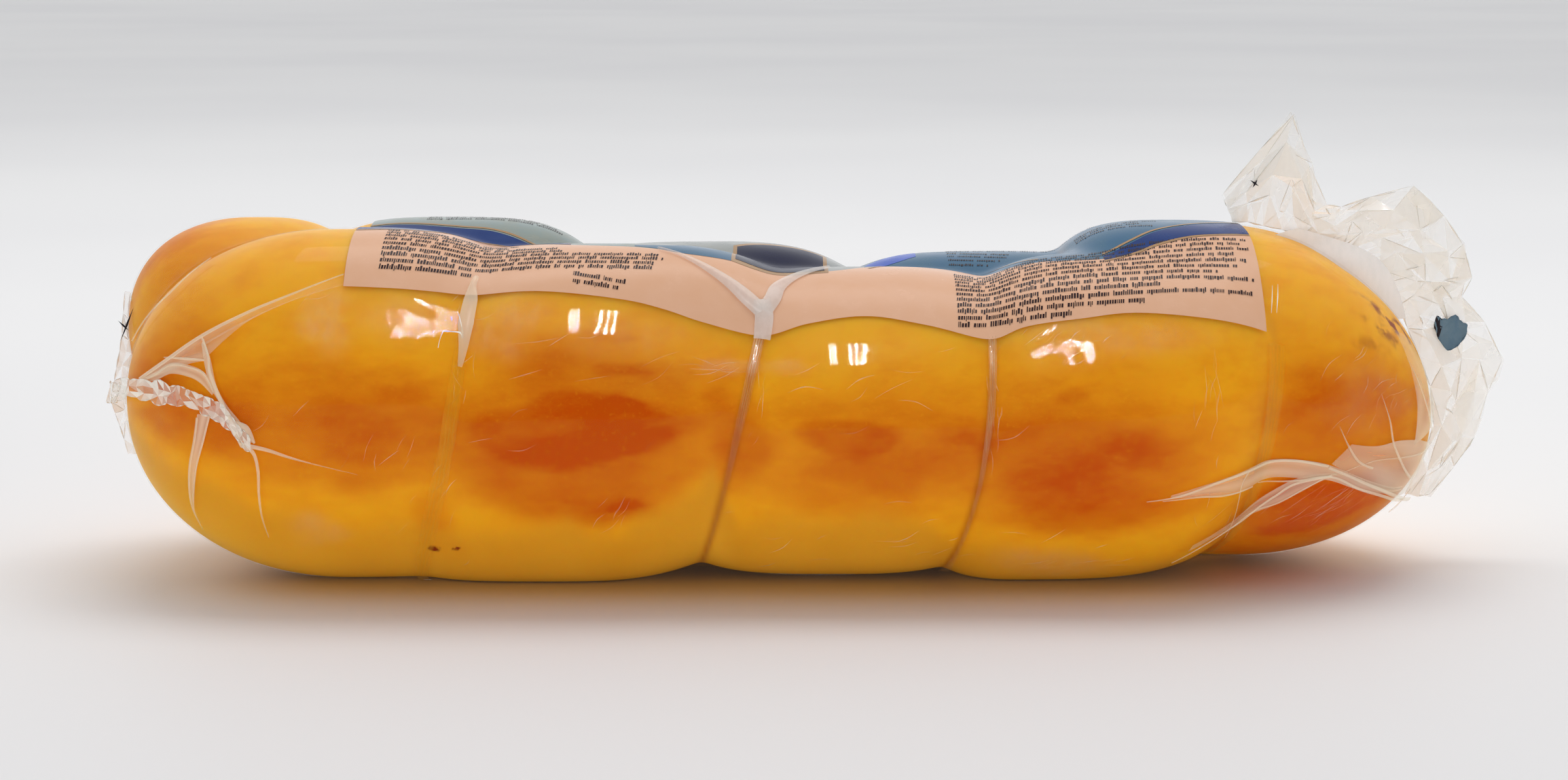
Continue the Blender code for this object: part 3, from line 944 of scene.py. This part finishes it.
# The ridges of the folds: stations, half widths, lift and haze.
RIDGES = (
    (
        ((-164, 17), (-156, 22), (-147, 27.5), (-136, 32.5), (-124, 37.5), (-113, 43)),
        (0.5, 0.45, 0.3, 0.15), 1.2, 0.75,
    ),
    (((-147, 25), (-136, 30.5), (-125, 35.5), (-113, 40)), (0.3, 0.16, 0.05), 0.6, 0.25),
    (((-157, 23), (-151, 21.5), (-146, 20.5)), (0.15, 0.3, 0.2), 0.9, 0.7),
    (
        ((-164, 16), (-159, 18), (-155, 20.3), (-150, 19), (-146, 16.5), (-143.5, 11)),
        (0.5, 0.35, 0.3, 0.2), 1.1, 0.6,
    ),
    (
        ((-147, 27.5), (-145, 21.5), (-144.5, 17), (-142.5, 11), (-140, 5), (-136.8, -3)),
        (0.2, 0.35, 0.45, 0.5), 1.4, 0.75,
    ),
    (((-139, 3), (-135.5, 1.5), (-133.6, -2.5)), (0.5, 0.7, 0.3), 1.0, 0.7),
    (
        ((-137, -3), (-134, -5), (-133, -10), (-133.2, -17), (-133, -24), (-132, -31)),
        (0.5, 0.4, 0.3, 0.12), 1.3, 0.65,
    ),
    (((-137, -3), (-131, -4), (-125, -6), (-118, -8), (-109, -10.5)), (0.5, 0.35, 0.15, 0.05), 1.2, 0.65),
    (
        ((-148, 4), (-149, -3), (-150.7, -12), (-151.4, -21), (-151.2, -28), (-149.5, -36)),
        (0.3, 0.3, 0.25, 0.1), 0.9, 0.6,
    ),
    (
        ((-144.8, 5), (-146.7, -3), (-148.8, -11), (-150.1, -19), (-150.9, -27)),
        (0.3, 0.25, 0.2, 0.1), 0.9, 0.55,
    ),
    (
        ((-148, 59), (-153, 54), (-157, 49), (-161, 46), (-165, 42), (-168, 37)),
        (0.3, 0.5, 0.5, 0.4), 0.9, 0.5,
    ),
    (
        ((80, -18), (88, -17), (97, -14.3), (106, -12.5), (112, -12), (119, -13), (126, -16)),
        (0.1, 0.3, 0.35, 0.35), 1.5, 0.7,
    ),
    (((126, -16), (133, -22.5), (141, -33), (147, -46), (151, -60)), (0.35, 0.45, 0.5, 0.5), 2.2, 0.7),
    (((84, -18.5), (93, -18.3), (100, -19.5), (107, -20)), (0.1, 0.25, 0.2), 0.8, 0.6),
    (((106, -12.6), (104, -17), (103.5, -23), (103, -30), (101.5, -40)), (0.25, 0.2, 0.15, 0.1), 0.8, 0.5),
    (
        ((88, -42), (95, -37), (101, -33.5), (107, -31.5), (113, -26), (118, -21.5), (127, -20)),
        (0.1, 0.25, 0.35, 0.35), 1.6, 0.65,
    ),
    (((103, -35), (109, -32), (114, -30), (120, -25), (125, -21.5)), (0.12, 0.22, 0.2), 0.9, 0.55),
    (
        ((108, -18), (113, -19.8), (119, -20.3), (127, -20.5), (134, -28), (142, -39), (149, -56)),
        (0.1, 0.3, 0.4, 0.45), 1.6, 0.7,
    ),
    (((128.5, -1), (131, -9), (134, -16.5), (138, -21.5)), (0.08, 0.3, 0.35), 1.1, 0.6),
    (((130, -20), (139, -18.5), (148, -24), (154, -32)), (0.12, 0.25, 0.4), 0.9, 0.5),
    (((139.6, 12), (142, 0), (143.4, -12), (146, -24), (150, -42)), (0.06, 0.25, 0.3, 0.3), 1.1, 0.6),
    (((147.6, 34), (150.4, 24), (153, 9), (155, -8), (156, -22)), (0.06, 0.2, 0.3, 0.3), 1.0, 0.55),
    (((151, -58), (149.5, -66), (147, -74)), (0.4, 0.3, 0.1), 1.0, 0.55),
)
BACK_RIDGES = (
    (((-166, 158), (-155, 154), (-143, 150), (-128, 146)), (0.4, 0.35, 0.1), 1.2, 0.6),
    (((-162, 175), (-150, 182), (-139, 190), (-126, 194)), (0.4, 0.3, 0.1), 1.3, 0.6),
    (((88, 197), (101, 199), (116, 202), (131, 206), (144, 216)), (0.1, 0.35, 0.4, 0.4), 1.6, 0.65),
    (((114, 184), (126, 190), (138, 199), (147, 210)), (0.08, 0.3, 0.35), 1.2, 0.6),
    (((132, 166), (140, 176), (146, 190)), (0.08, 0.3, 0.3), 1.0, 0.55),
)
# The forked web of film over the top of the middle crease: stations and half widths.
MIDDLE_WEB = (
    (((-12.3, 26.5), (-12, 30), (-11.8, 34), (-12.2, 38), (-12.4, 40)), (2.0, 2.2, 2.3, 2.0)),
    (((-12.2, 36), (-15.6, 40), (-20, 45), (-26, 51), (-32, 57), (-38, 62)), (2.0, 2.0, 1.4, 0.9, 0.5)),
    (((-12.0, 36), (-9.8, 41), (-8.4, 47), (-5, 54), (-1, 60), (4, 66)), (2.0, 2.0, 1.7, 1.5, 1.0)),
)
LEFT_WEB = (
    ((-81.6, 46), (-82.2, 42), (-82.4, 37), (-83.2, 30), (-83.6, 24), (-84.4, 18)),
    (0.7, 0.9, 1.7, 1.9, 1.2, 0.5),
)
# The film that bridges each crease of a row, from the top down: half widths, haze and how streaky it is.
SEAMS = (
    ((1.5, 1.9, 2.1, 1.9, 1.2), (0.34, 0.3, 0.26, 0.22, 0.2), 0.35),
    ((1.35, 1.1, 0.6, 0.4, 0.4), (0.44, 0.14, 0.04, 0.03, 0.03), 1.0),
    ((1.0, 0.9, 0.55, 0.6, 1.8), (0.5, 0.3, 0.1, 0.08, 0.2), 1.0),
    ((2.2, 2.1, 1.9, 1.5, 1.5), (0.24, 0.26, 0.24, 0.2, 0.12), 0.35),
)
SEAM_ANGLES = np.linspace(28.0, -62.0, 46)
# Every so many of these angles is a station of the strip.
STATION_EVERY = 3
SEAM_COLUMNS = 120
SEAM_ROWS = 17
SEAM_LIFT = 0.12


def add_seams():
    """Where film bridges a crease: a strip of film, more or less streaked with fine pale lines along it."""
    streaky_film = film_material("streaky_seam_film", white=srgb(250, 206, 150))
    soft_film = film_material("soft_seam_film", white=srgb(250, 190, 40), cloudy=0.2)
    u = np.linspace(0, 1, SEAM_COLUMNS)
    sides = np.linspace(-1, 1, SEAM_ROWS)
    along, across = u[:, None], sides[None, :]
    fade = 1.0 - 0.8 * across**4
    for row, angles in ((FRONT_LOBES, SEAM_ANGLES), (BACK_LOBES, 180.0 - SEAM_ANGLES)):
        for before, after, (widths, hazes, streaky) in zip(row, row[1:], SEAMS):
            stations = list(zip(seam(before, after, angles), angles))[::STATION_EVERY]
            places = band(stations, widths, u, sides)
            points = surface(places[..., 0], places[..., 1], FILM, SEAM_LIFT)
            material = streaky_film if streaky > 0.5 else soft_film
            made = add_mesh(f"seam_{before.name}", points, grid_faces(SEAM_COLUMNS, SEAM_ROWS), material)
            wander = across * 7.0 + 1.3 * np.sin(9.0 * u)[:, None] + before.x
            lines = np.abs(np.sin(wander)) ** 4 + 0.5 * np.abs(np.sin(2.3 * wander + 5.0 * along)) ** 8
            haze = spread(hazes, u)[:, None]
            paint(made, haze=haze * (1.0 - streaky * (0.65 - lines)) * fade)


# Painted highlights: small white bands on creases of the film, standing in for glints of the lamps: stations
# and half widths.
PAINTED_GLINTS = (
    (((-88.5, 27.5), (-86.4, 27.4), (-84.4, 27.1), (-84.1, 25.6)), (0.16, 0.08, 0.2, 0.1)),
    (((-85.1, 32.6), (-84.2, 29.1), (-83.7, 25.6)), (0.08, 0.16, 0.1)),
    (((-86.8, 31.7), (-86.6, 31.0), (-86.6, 30.4)), (0.06, 0.14, 0.06)),
    (((-88.5, 27.5), (-89.2, 25.2), (-89.6, 22.9)), (0.1, 0.06, 0.1)),
    (((-91.0, 26.8), (-90.8, 27.2), (-90.5, 27.6)), (0.06, 0.14, 0.06)),
    (((112.6, 49.8), (112.1, 44.0), (111.5, 38.2)), (0.05, 0.12, 0.06)),
    (((114.1, 50.8), (113.6, 45.0), (112.9, 38.7)), (0.05, 0.14, 0.06)),
)
# Fine creases of the film, in clusters: x, angle, their spread, how many, their direction and longest length.
FINE_CREASES = (
    (124, -35, 15, 8, 34, 32, 16),
    (-48, -22, 3, 3, 7, 52, 8),
    (-22, 18, 6, 2, 8, 5, 10),
    (62, 24, 16, 7, 22, 48, 7),
    (-96, -12, 12, 16, 14, 60, 7),
    (137, 16, 12, 20, 26, 62, 11),
    (-84, 20, 2, 14, 14, 80, 6),
    (-14, 12, 3, 12, 10, 75, 7),
    (43, 4, 2, 18, 12, 82, 7),
    (96, 6, 6, 24, 16, 85, 10),
    (-124, 14, 14, 20, 5, 35, 9),
    (60, -38, 20, 9, 14, 12, 8),
    (10, -30, 26, 12, 16, 20, 8),
    (-60, 10, 24, 20, 12, 20, 12),
    (15, 12, 24, 16, 10, 15, 10),
    (-90, 150, 50, 30, 40, 25, 12),
    (60, 160, 50, 30, 40, 25, 12),
    (0, 200, 90, 20, 40, 20, 12),
)
# How they vary: the places as shares of the spread, the turn in degrees, the lengths as shares of the
# longest, the bow as a share of the length, and the half widths and hazes.
CREASE_SCATTER = 0.6
CREASE_TURN = 14
CREASE_LENGTHS = (0.3, 1.0)
CREASE_BOW = 0.12
CREASE_HALF_WIDTHS = (0.05, 0.14)
CREASE_HAZES = (0.08, 0.32)
# A crease's stations: the shares of its length and of its bow.
CREASE_STATIONS = ((-0.5, 0.0), (0.0, 1.0), (0.5, 0.0))
CREASE_SIDES = (-1, 0, 1)
CREASE_COLUMNS = 9
CREASE_LIFT = 0.1
CREASE_SEED = 31


def add_fine_creases(material):
    """All the fine creases as one mesh."""
    draw = random.Random(CREASE_SEED)
    u = np.linspace(0, 1, CREASE_COLUMNS)
    taper = (1.0 - 0.5 * np.abs(2 * u - 1))[:, None]
    everything, hazes = [], []
    for x, angle, spread_x, spread_angle, count, direction, longest in FINE_CREASES:
        for _ in range(count):
            start_x = x + draw.gauss(0, CREASE_SCATTER) * spread_x
            start_angle = angle + draw.gauss(0, CREASE_SCATTER) * spread_angle
            turn = math.radians(direction + draw.gauss(0, CREASE_TURN))
            length = longest * draw.uniform(*CREASE_LENGTHS)
            bow = length * draw.uniform(-CREASE_BOW, CREASE_BOW)
            half = draw.uniform(*CREASE_HALF_WIDTHS)
            haze = draw.uniform(*CREASE_HAZES)
            along = (math.cos(turn) * length, math.sin(turn) * length / MM_PER_DEGREE)
            aside = (-math.sin(turn) * bow, math.cos(turn) * bow / MM_PER_DEGREE)
            stations = [
                (start_x + along[0] * far + aside[0] * out, start_angle + along[1] * far + aside[1] * out)
                for far, out in CREASE_STATIONS
            ]
            everything.append(band(stations, (half * 0.3, half, half * 0.3), u, CREASE_SIDES))
            hazes.append(np.full((CREASE_COLUMNS, len(CREASE_SIDES)), haze) * taper)
    places = np.array(everything)
    points = surface(places[..., 0], places[..., 1], FILM, CREASE_LIFT)
    one = np.array(grid_faces(CREASE_COLUMNS, len(CREASE_SIDES)))
    starts = range(0, places[..., 0].size, CREASE_COLUMNS * len(CREASE_SIDES))
    faces = np.concatenate([one + start for start in starts]).tolist()
    made = add_mesh("fine_creases", points, faces, material)
    paint(made, haze=np.array(hazes))


WEB_COLUMNS = 80
WEB_ROWS = 10
WEB_LIFT = 0.6
# The ridges' haze as a share of the tables'.
RIDGE_SHARE = 0.8


def add_folds():
    """The folds, webs and creases of the film."""
    slack = film_material("slack_film", white=srgb(255, 242, 214), cloudy=0.0)
    smooth_film = film_material("web_film", white=srgb(240, 230, 222), cloudy=0.2)
    # Painted highlights: near-white film for the glints.
    painted_glint_film = film_material("painted_glint_film", white=srgb(255, 254, 244), cloudy=0.0)
    for name, lower, upper, (start, end) in WEBS:
        made, _ = add_sheet(f"web_{name}", lower, upper, slack, WEB_LIFT, WEB_COLUMNS, WEB_ROWS)
        u, v = grid_shares(WEB_COLUMNS, WEB_ROWS)
        pleats = 0.25 * np.sin(9.0 * v + 5.0 * u) * np.sin(4.0 * u + len(name))
        paint(made, haze=(start + (end - start) * u) * (1.0 + pleats))
    for number, (stations, widths, lift, haze) in enumerate(RIDGES + BACK_RIDGES):
        haze = RIDGE_SHARE * haze
        add_band(f"ridge_{number}", stations, widths, slack, lift, columns=70, arch=0.2, haze=haze)
    for number, (stations, widths) in enumerate(MIDDLE_WEB):
        name = f"middle_web_{number}"
        add_band(name, stations, widths, smooth_film, lift=0.5, columns=50, arch=0.5, haze=0.6)
    # Painted highlights: glints drawn as white bands of film.
    for number, (stations, widths) in enumerate(PAINTED_GLINTS):
        add_band(f"glint_{number}", stations, widths, painted_glint_film, lift=0.7, columns=16, arch=0.1, haze=0.95)
    add_band("left_web", *LEFT_WEB, slack, lift=0.5, columns=50, arch=0.4, haze=0.55)
    add_seams()
    add_fine_creases(film_material("crease_film", white=srgb(255, 236, 204)))


# ---------------------------------------------------------------- the bag's ends

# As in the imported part's source: the inner edge's x, y, z and the outer edge's.
TAIL = (
    (153, 2, 17, 160, 4, 16),
    (158, 5, 26, 167, 9, 23),
    (161, 7, 34, 173, 12, 30),
    (160, 8, 44, 177, 15, 41),
    (157, 9, 52, 181, 17, 50),
    (154, 10, 59, 175, 17, 59),
    (152, 11, 65, 169, 16, 66),
    (150, 12, 71, 171, 18, 72),
    (147, 13, 76, 170, 20, 80),
    (143, 14, 78, 165, 22, 87),
    (139, 14, 79, 158, 22, 94),
    (136, 15, 80, 146, 21, 92),
    (131, 15, 81, 138, 20, 89),
    (127, 16, 82, 133, 20, 90),
    (122, 16, 84, 130, 22, 101),
    (117, 16, 85, 125, 23, 114),
    (113, 16, 86, 117, 22, 104),
    (109, 16, 86, 107, 20, 93),
)
LEFT_EDGE = (
    (-173.0, 5, 69, -176.0, 6, 69),
    (-174.0, 4, 57, -177.2, 5, 57),
    (-174.0, 3, 48, -178.5, 3, 48),
    (-173.5, 2, 42, -180.0, 2, 42),
    (-173.5, 1, 36, -177.6, 1, 36),
    (-172.5, -1, 28, -175.2, -1, 28),
)
LEAF = (
    (141, 4, 61, 153, 7, 62),
    (137, 5, 68, 151, 8, 69),
    (131, 6, 73, 147, 9, 76),
    (124, 7, 77, 141, 10, 80),
    (117, 8, 79, 132, 11, 83),
    (111, 9, 81, 125, 11, 85),
)
# The gather's middle line: first in the air, x, y, z, and then on the film, x, angle.
GATHER_START = ((-180.0, 3, 43.5), (-177.5, -4, 44.5), (-174.5, -11, 45.5))
GATHER_PLACES = (
    (-170, 14), (-166, 14), (-161, 12.5), (-157, 11.5), (-153, 10.5), (-150, 10), (-146, 8),
    (-143, 6.5), (-140, 4), (-137, 0), (-134.5, -3),
)


# A bar's corners: its two ends and four round its middle. No bar runs along the direction across.
BAR_CORNERS = 6
ACROSS = (0.3, 1.0, 0.2)


def spindles(starts, ends, radii):
    """The corners and faces of thin bars, thickest in their middles, from the starts to the ends."""
    along = ends - starts
    aside = np.cross(along, ACROSS)
    aside /= np.linalg.norm(aside, axis=1, keepdims=True)
    over = np.cross(along, aside)
    over /= np.linalg.norm(over, axis=1, keepdims=True)
    middle = (starts + ends) / 2
    reach = radii[:, None]
    ring = [middle + aside * reach, middle + over * reach, middle - aside * reach, middle - over * reach]
    corners = np.stack([starts, *ring, ends], axis=1).reshape(-1, 3)
    faces = []
    for first in range(0, len(corners), BAR_CORNERS):
        last = first + BAR_CORNERS - 1
        for side in range(4):
            here, following = first + 1 + side, first + 1 + (side + 1) % 4
            faces += [(first, following, here), (last, here, following)]
    return corners, faces


# How film crumples: the facets' corners move by this share of a facet, and off the sheet by these shares of
# its depth along X, Y and Z, more and more towards the outer edge.
FACET_JITTER = 0.38
LOOSE_WAYS = (0.35, 1.0, 0.35)
LOOSE_POWER = 0.7
# The facets' haze as shares of the sheet's, and the ridges' thickness and haze: whitened film along the
# folds, painted bright as their highlights too.
FACET_HAZES = (0.15, 1.85)
RIDGE_RADII = (0.08, 0.3)
RIDGE_HAZE_AND_HIGHLIGHT = 0.8

# How a sheet is crumpled: the seed of its random draws, the columns and rows of its facets, the depth of the
# folds, the haze, the share of the facets' edges that have a ridge, and whether its hem has one too.
Crumple = namedtuple("Crumple", "seed columns rows depth haze ridges hem")


def crumpled_points(draw, stations, crumple):
    """The facets' corners between the inner and the outer edge of the stations."""
    u, v = grid_shares(crumple.columns, crumple.rows)
    inside = (slice(1, -1), slice(1, -1))
    u[inside] += draw.uniform(-FACET_JITTER, FACET_JITTER, u[inside].shape) / (crumple.columns - 1)
    v[inside] += draw.uniform(-FACET_JITTER, FACET_JITTER, u[inside].shape) / (crumple.rows - 1)
    edges = np.stack([spread(values, u) for values in np.array(stations, float).T], axis=-1)
    inner, outer = edges[..., :3], edges[..., 3:]
    points = inner + (outer - inner) * v[..., None]
    loose = np.array(LOOSE_WAYS) * crumple.depth * v[..., None] ** LOOSE_POWER
    return (points + draw.uniform(-1, 1, points.shape) * loose).reshape(-1, 3)


def crumpled_facets(draw, crumple):
    """The facets, which are the halves of a grid's quads, and the haze of each."""
    faces, hazes = [], []
    for first, second, third, fourth in grid_faces(crumple.columns, crumple.rows):
        if draw.random() < 0.5:
            faces += [(first, second, third), (first, third, fourth)]
        else:
            faces += [(first, second, fourth), (second, third, fourth)]
        hazes += list(crumple.haze * draw.uniform(*FACET_HAZES, 2))
    return faces, hazes


def crumpled_sheet(name, stations, material, crumple):
    """A sheet of crumpled film: its flat facets, and the ridges along some of their edges."""
    draw = np.random.default_rng(crumple.seed)
    points = crumpled_points(draw, stations, crumple)
    faces, hazes = crumpled_facets(draw, crumple)
    made = add_mesh(name, points, faces, material)
    made.data.shade_flat()
    attribute = made.data.attributes.new("haze", "FLOAT", "FACE")
    attribute.data.foreach_set("value", np.array(hazes, np.float32))
    edges = {tuple(sorted(edge)) for face in faces for edge in zip(face, face[1:] + face[:1])}
    edges = np.array(sorted(edges))
    on_hem = np.isin(edges % crumple.rows, (0, crumple.rows - 1)).all(axis=1)
    edges = edges[(draw.random(len(edges)) < crumple.ridges) | (on_hem & crumple.hem)]
    radii = draw.uniform(*RIDGE_RADII, len(edges))
    corners, bars = spindles(points[edges[:, 0]], points[edges[:, 1]], radii)
    ridge = add_mesh(f"{name}_ridges", corners, bars, material)
    # The ridges: whitened film, painted bright as the folds' highlights.
    paint(ridge, haze=np.full(len(corners), RIDGE_HAZE_AND_HIGHLIGHT))
    return made, ridge


GATHER_PLEATS = 31
GATHER_HEIGHT = 5.4
GATHER_NARROWING = 0.35
GATHER_LIFT = 1.4
GATHER_SEED = 17
# How far the pleats stand out in turn, and how much their heights and depths vary.
PLEAT_OUT = 0.9
PLEAT_IN = -0.3
PLEAT_HEIGHTS = (0.75, 1.2)
PLEAT_DEPTHS = (0.3, 1.3)
# The upper edge follows the pleats less than the lower one, which also stands out more.
UPPER_SHARE = 0.4
LOWER_OUT = 0.6


def gather_stations():
    """The edges of the film that is gathered into a ruffle, as stations of a crumpled sheet."""
    draw = np.random.default_rng(GATHER_SEED)
    u = np.linspace(0, 1, GATHER_PLEATS)
    x, angle = np.array(GATHER_PLACES, float).T
    on_film = surface(x, angle, FILM, GATHER_LIFT)
    path = smooth(np.concatenate([np.array(GATHER_START), on_film]), u)
    height = GATHER_HEIGHT * (1 - GATHER_NARROWING * u**2) * draw.uniform(*PLEAT_HEIGHTS, GATHER_PLEATS)
    ahead = np.gradient(path, axis=0)
    outward = np.cross(ahead, (0.0, 0.0, 1.0))
    outward /= np.linalg.norm(outward, axis=1, keepdims=True)
    in_turn = np.where(np.arange(GATHER_PLEATS) % 2, PLEAT_OUT, PLEAT_IN)
    pleat = in_turn * draw.uniform(*PLEAT_DEPTHS, GATHER_PLEATS)
    upper = path + outward * (UPPER_SHARE * pleat)[:, None]
    lower = path + outward * (LOWER_OUT + pleat)[:, None]
    upper[:, 2] += 0.5 * height
    lower[:, 2] -= 0.5 * height
    return np.concatenate([upper, lower], axis=1)


# The share of the paper's light that comes through it, and the height of the leaf's waves.
PAPER_THROUGH = 0.25
LEAF_WAVE = 0.3
LEAF_COLUMNS = 60
LEAF_ROWS = 20


def paper_material():
    s = Shading("white_paper")
    fibres = s.noise(700.0, 4.0, 0.6, (1.0, 1.0, 0.3))
    colour = s.mix(s.ramp(fibres, 0.3, 0.7), srgb(248, 252, 255), srgb(242, 247, 250))
    inputs = {"Base Color": colour, "Roughness": 0.6, "Normal": s.bump(fibres, 0.2, 0.2)}
    paper = s.principled(inputs)
    lit_through = s.node("ShaderNodeBsdfTranslucent", {"Color": colour}).outputs[0]
    return s.finish(s.blend(PAPER_THROUGH, paper, lit_through))


def add_leaf():
    u, v = grid_shares(LEAF_COLUMNS, LEAF_ROWS)
    edges = smooth(LEAF, u)
    points = edges[..., :3] + (edges[..., 3:] - edges[..., :3]) * v[..., None]
    points[..., 1] += LEAF_WAVE * np.sin(9.0 * u + 2.0 * v)
    leaf = add_mesh("leaf", points, grid_faces(LEAF_COLUMNS, LEAF_ROWS), paper_material())
    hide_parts("paper_leaf")


# Thin dark crossed marks on the film of both ends: ends of each line, x, y, z.
MARKS = (
    (-172.6, 0.0, 65.8, -176.3, 0.0, 57.0),
    (-176.7, 0.0, 62.4, -174.0, 0.0, 59.8),
    (113.3, 15.5, 96.9, 115.6, 15.5, 95.3),
    (114.0, 15.5, 94.9, 115.2, 15.5, 97.1),
)
MARK_RADIUS = 0.3
# The printed corner of the tail: its lower and upper edge.
TAIL_PRINT = (
    (160.8, 10.0, 60.2, 161.4, 9.6, 62.4),
    (162.2, 10.4, 56.0, 163.3, 10.2, 60.9),
    (164.8, 11.2, 53.0, 166.6, 10.9, 62.6),
    (167.6, 12.0, 53.8, 168.2, 12.0, 60.4),
    (169.8, 12.0, 57.2, 170.0, 12.0, 59.6),
)
TAIL_LAYERS = (Crumple(3, 18, 5, 2.2, 0.55, 0.14, True), Crumple(11, 35, 5, 1.4, 0.26, 0.14, False))
LEFT_CRUMPLE = Crumple(5, 12, 3, 0.5, 0.5, 0.3, True)
GATHER_CRUMPLE = Crumple(9, GATHER_PLEATS, 4, 0.6, 0.5, 0.1, True)
PRINT_CRUMPLE = Crumple(7, 7, 4, 0.4, 1.0, 0.0, True)


def add_marks():
    """The crossed marks, and the printed corner of the tail with its dark side."""
    ends = np.array(MARKS)
    ink = print_material("print_dark", srgb(40, 38, 44), srgb(54, 50, 54))
    corners, bars = spindles(ends[:, :3], ends[:, 3:], np.full(len(MARKS), MARK_RADIUS))
    marks = add_mesh("marks", corners, bars, ink)
    blue = print_material("print_steel_blue", srgb(88, 114, 132), srgb(128, 150, 162))
    crumpled_sheet("tail_print", TAIL_PRINT, blue, PRINT_CRUMPLE)
    crumpled_sheet("tail_print_side", TAIL_PRINT[:2], ink, PRINT_CRUMPLE._replace(columns=3))


def add_ends():
    """The tail, the film at the left end with its gather, the marks on them and the paper leaf."""
    crinkled = film_material("crinkled_film", haze=0.03, white=srgb(252, 248, 240), cloudy=0.1, through=0.2)
    gathered = film_material("gathered_film", haze=0.03, white=srgb(255, 250, 238), cloudy=0.2)
    for layer, crumple in enumerate(TAIL_LAYERS):
        for made in crumpled_sheet(f"tail_{layer}", TAIL, crinkled, crumple):
            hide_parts("bag_end_right")
    for made in crumpled_sheet("left_edge", LEFT_EDGE, crinkled, LEFT_CRUMPLE):
        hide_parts("bag_end_left")
    for made in crumpled_sheet("gather", gather_stations(), gathered, GATHER_CRUMPLE):
        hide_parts("bag_end_left")
    add_marks()
    add_leaf()


# ---------------------------------------------------------------- camera, light and floor

def add_camera():
    data = bpy.data.cameras.new("camera")
    data.sensor_width = SENSOR_WIDTH
    data.lens = FOCAL_PIXELS / PHOTO_WIDTH * SENSOR_WIDTH
    data.clip_start = 0.01
    data.clip_end = 100.0
    camera = add_object("camera", data)
    elevation = math.radians(CAMERA_ELEVATION)
    back = Vector((0.0, -math.cos(elevation), math.sin(elevation)))
    camera.location = (Vector(LOOK_AT) + back * CAMERA_DISTANCE) * MM
    camera.rotation_euler = (-back).to_track_quat("-Z", "Y").to_euler()
    bpy.context.scene.camera = camera


def add_area_light(name, place, aim, size, power):
    data = bpy.data.lights.new(name, "AREA")
    data.shape = "RECTANGLE"
    data.size, data.size_y = size
    data.energy = power
    light = add_object(name, data)
    light.location = place
    light.rotation_euler = (Vector(aim) - Vector(place)).to_track_quat("-Z", "Y").to_euler()
    return light


# Where the world's light comes from, its colour, and its strengths away from there and towards it.
BRIGHT_SIDE = (0.0, 0.85, 0.5)
WORLD_COLOUR = (0.97, 0.98, 1.0, 1.0)
WORLD_STRENGTHS = (0.06, 1.1)


def add_world():
    """Light all round, brighter from above and behind than from the camera's side."""
    world = bpy.data.worlds.new("studio")
    bpy.context.scene.world = world
    world.use_nodes = True
    tree = world.node_tree
    background = tree.nodes["Background"]
    direction = tree.nodes.new("ShaderNodeTexCoord").outputs["Generated"]
    facing = tree.nodes.new("ShaderNodeVectorMath")
    facing.operation = "DOT_PRODUCT"
    facing.inputs[1].default_value = BRIGHT_SIDE
    tree.links.new(direction, facing.inputs[0])
    strength = tree.nodes.new("ShaderNodeMapRange")
    strength.interpolation_type = "SMOOTHSTEP"
    weakest, strongest = WORLD_STRENGTHS
    settings = {"From Min": -0.35, "From Max": 0.75, "To Min": weakest, "To Max": strongest}
    for name, value in settings.items():
        strength.inputs[name].default_value = value
    tree.links.new(facing.outputs["Value"], strength.inputs["Value"])
    tree.links.new(strength.outputs["Result"], background.inputs["Strength"])
    background.inputs["Color"].default_value = WORLD_COLOUR


# Thin lamps in two groups, which show only as reflections: the groups' x, the lamps' steps from it, and the
# Y and Z of their place and aim. The lights' lengths are in metres and their powers in watts.
LAMP_GROUPS = (-0.016, 0.044)
LAMP_STEPS = (-0.011, 0.0, 0.011)
LAMP_PLACE = (-0.92, 1.32)
LAMP_AIM = (-0.1, 0.05)
LAMP_SIZE = (0.004, 0.5)
LAMP_POWER = 2.3
KEY_PLACE = (0.1, 0.6, 1.5)
KEY_AIM = (0.0, 0.0, 0.0)
KEY_SIZE = (1.3, 0.6)
KEY_POWER = 9.1
# Wide and low in front, to light the front without a reflection.
FILL_PLACE = (0.0, -3.6, 0.15)
FILL_AIM = (0.0, 0.0, 0.04)
FILL_SIZE = (4.8, 0.24)
FILL_POWER = 60.0


def add_lights():
    add_world()
    for group in LAMP_GROUPS:
        for step in LAMP_STEPS:
            x = group + step
            lamp = add_area_light("lamp", (x, *LAMP_PLACE), (x, *LAMP_AIM), LAMP_SIZE, LAMP_POWER)
            lamp.visible_diffuse = False
    add_area_light("key", KEY_PLACE, KEY_AIM, KEY_SIZE, KEY_POWER)
    fill = add_area_light("fill", FILL_PLACE, FILL_AIM, FILL_SIZE, FILL_POWER)
    fill.visible_glossy = False


FLOOR_HALF = 20.0


def floor_material():
    s = Shading("studio_floor")
    tint = s.mix(s.ramp(s.noise(1.5, 2.0), 0.3, 0.7), srgb(238, 237, 236), srgb(232, 231, 231))
    inputs = {"Base Color": tint, "Roughness": 0.6, "Specular IOR Level": 0.2}
    return s.finish(s.principled(inputs))


def add_floor():
    mesh = bpy.data.meshes.new("floor")
    corners = [(x * FLOOR_HALF, y * FLOOR_HALF, 0) for x, y in ((-1, -1), (1, -1), (1, 1), (-1, 1))]
    mesh.from_pydata(corners, [], [(0, 1, 2, 3)])
    mesh.materials.append(floor_material())
    floor = add_object("floor", mesh)


# ---------------------------------------------------------------- the scene


def main():
    bpy.context.scene.view_settings.view_transform = "Standard"
    add_camera()
    add_lights()
    add_floor()
    cheese, cheese_reach = add_cheese()
    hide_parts("braid")
    film = add_film(cheese_reach)
    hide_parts("braid")
    add_label()
    add_small_print()
    add_folds()
    add_ends()


main()
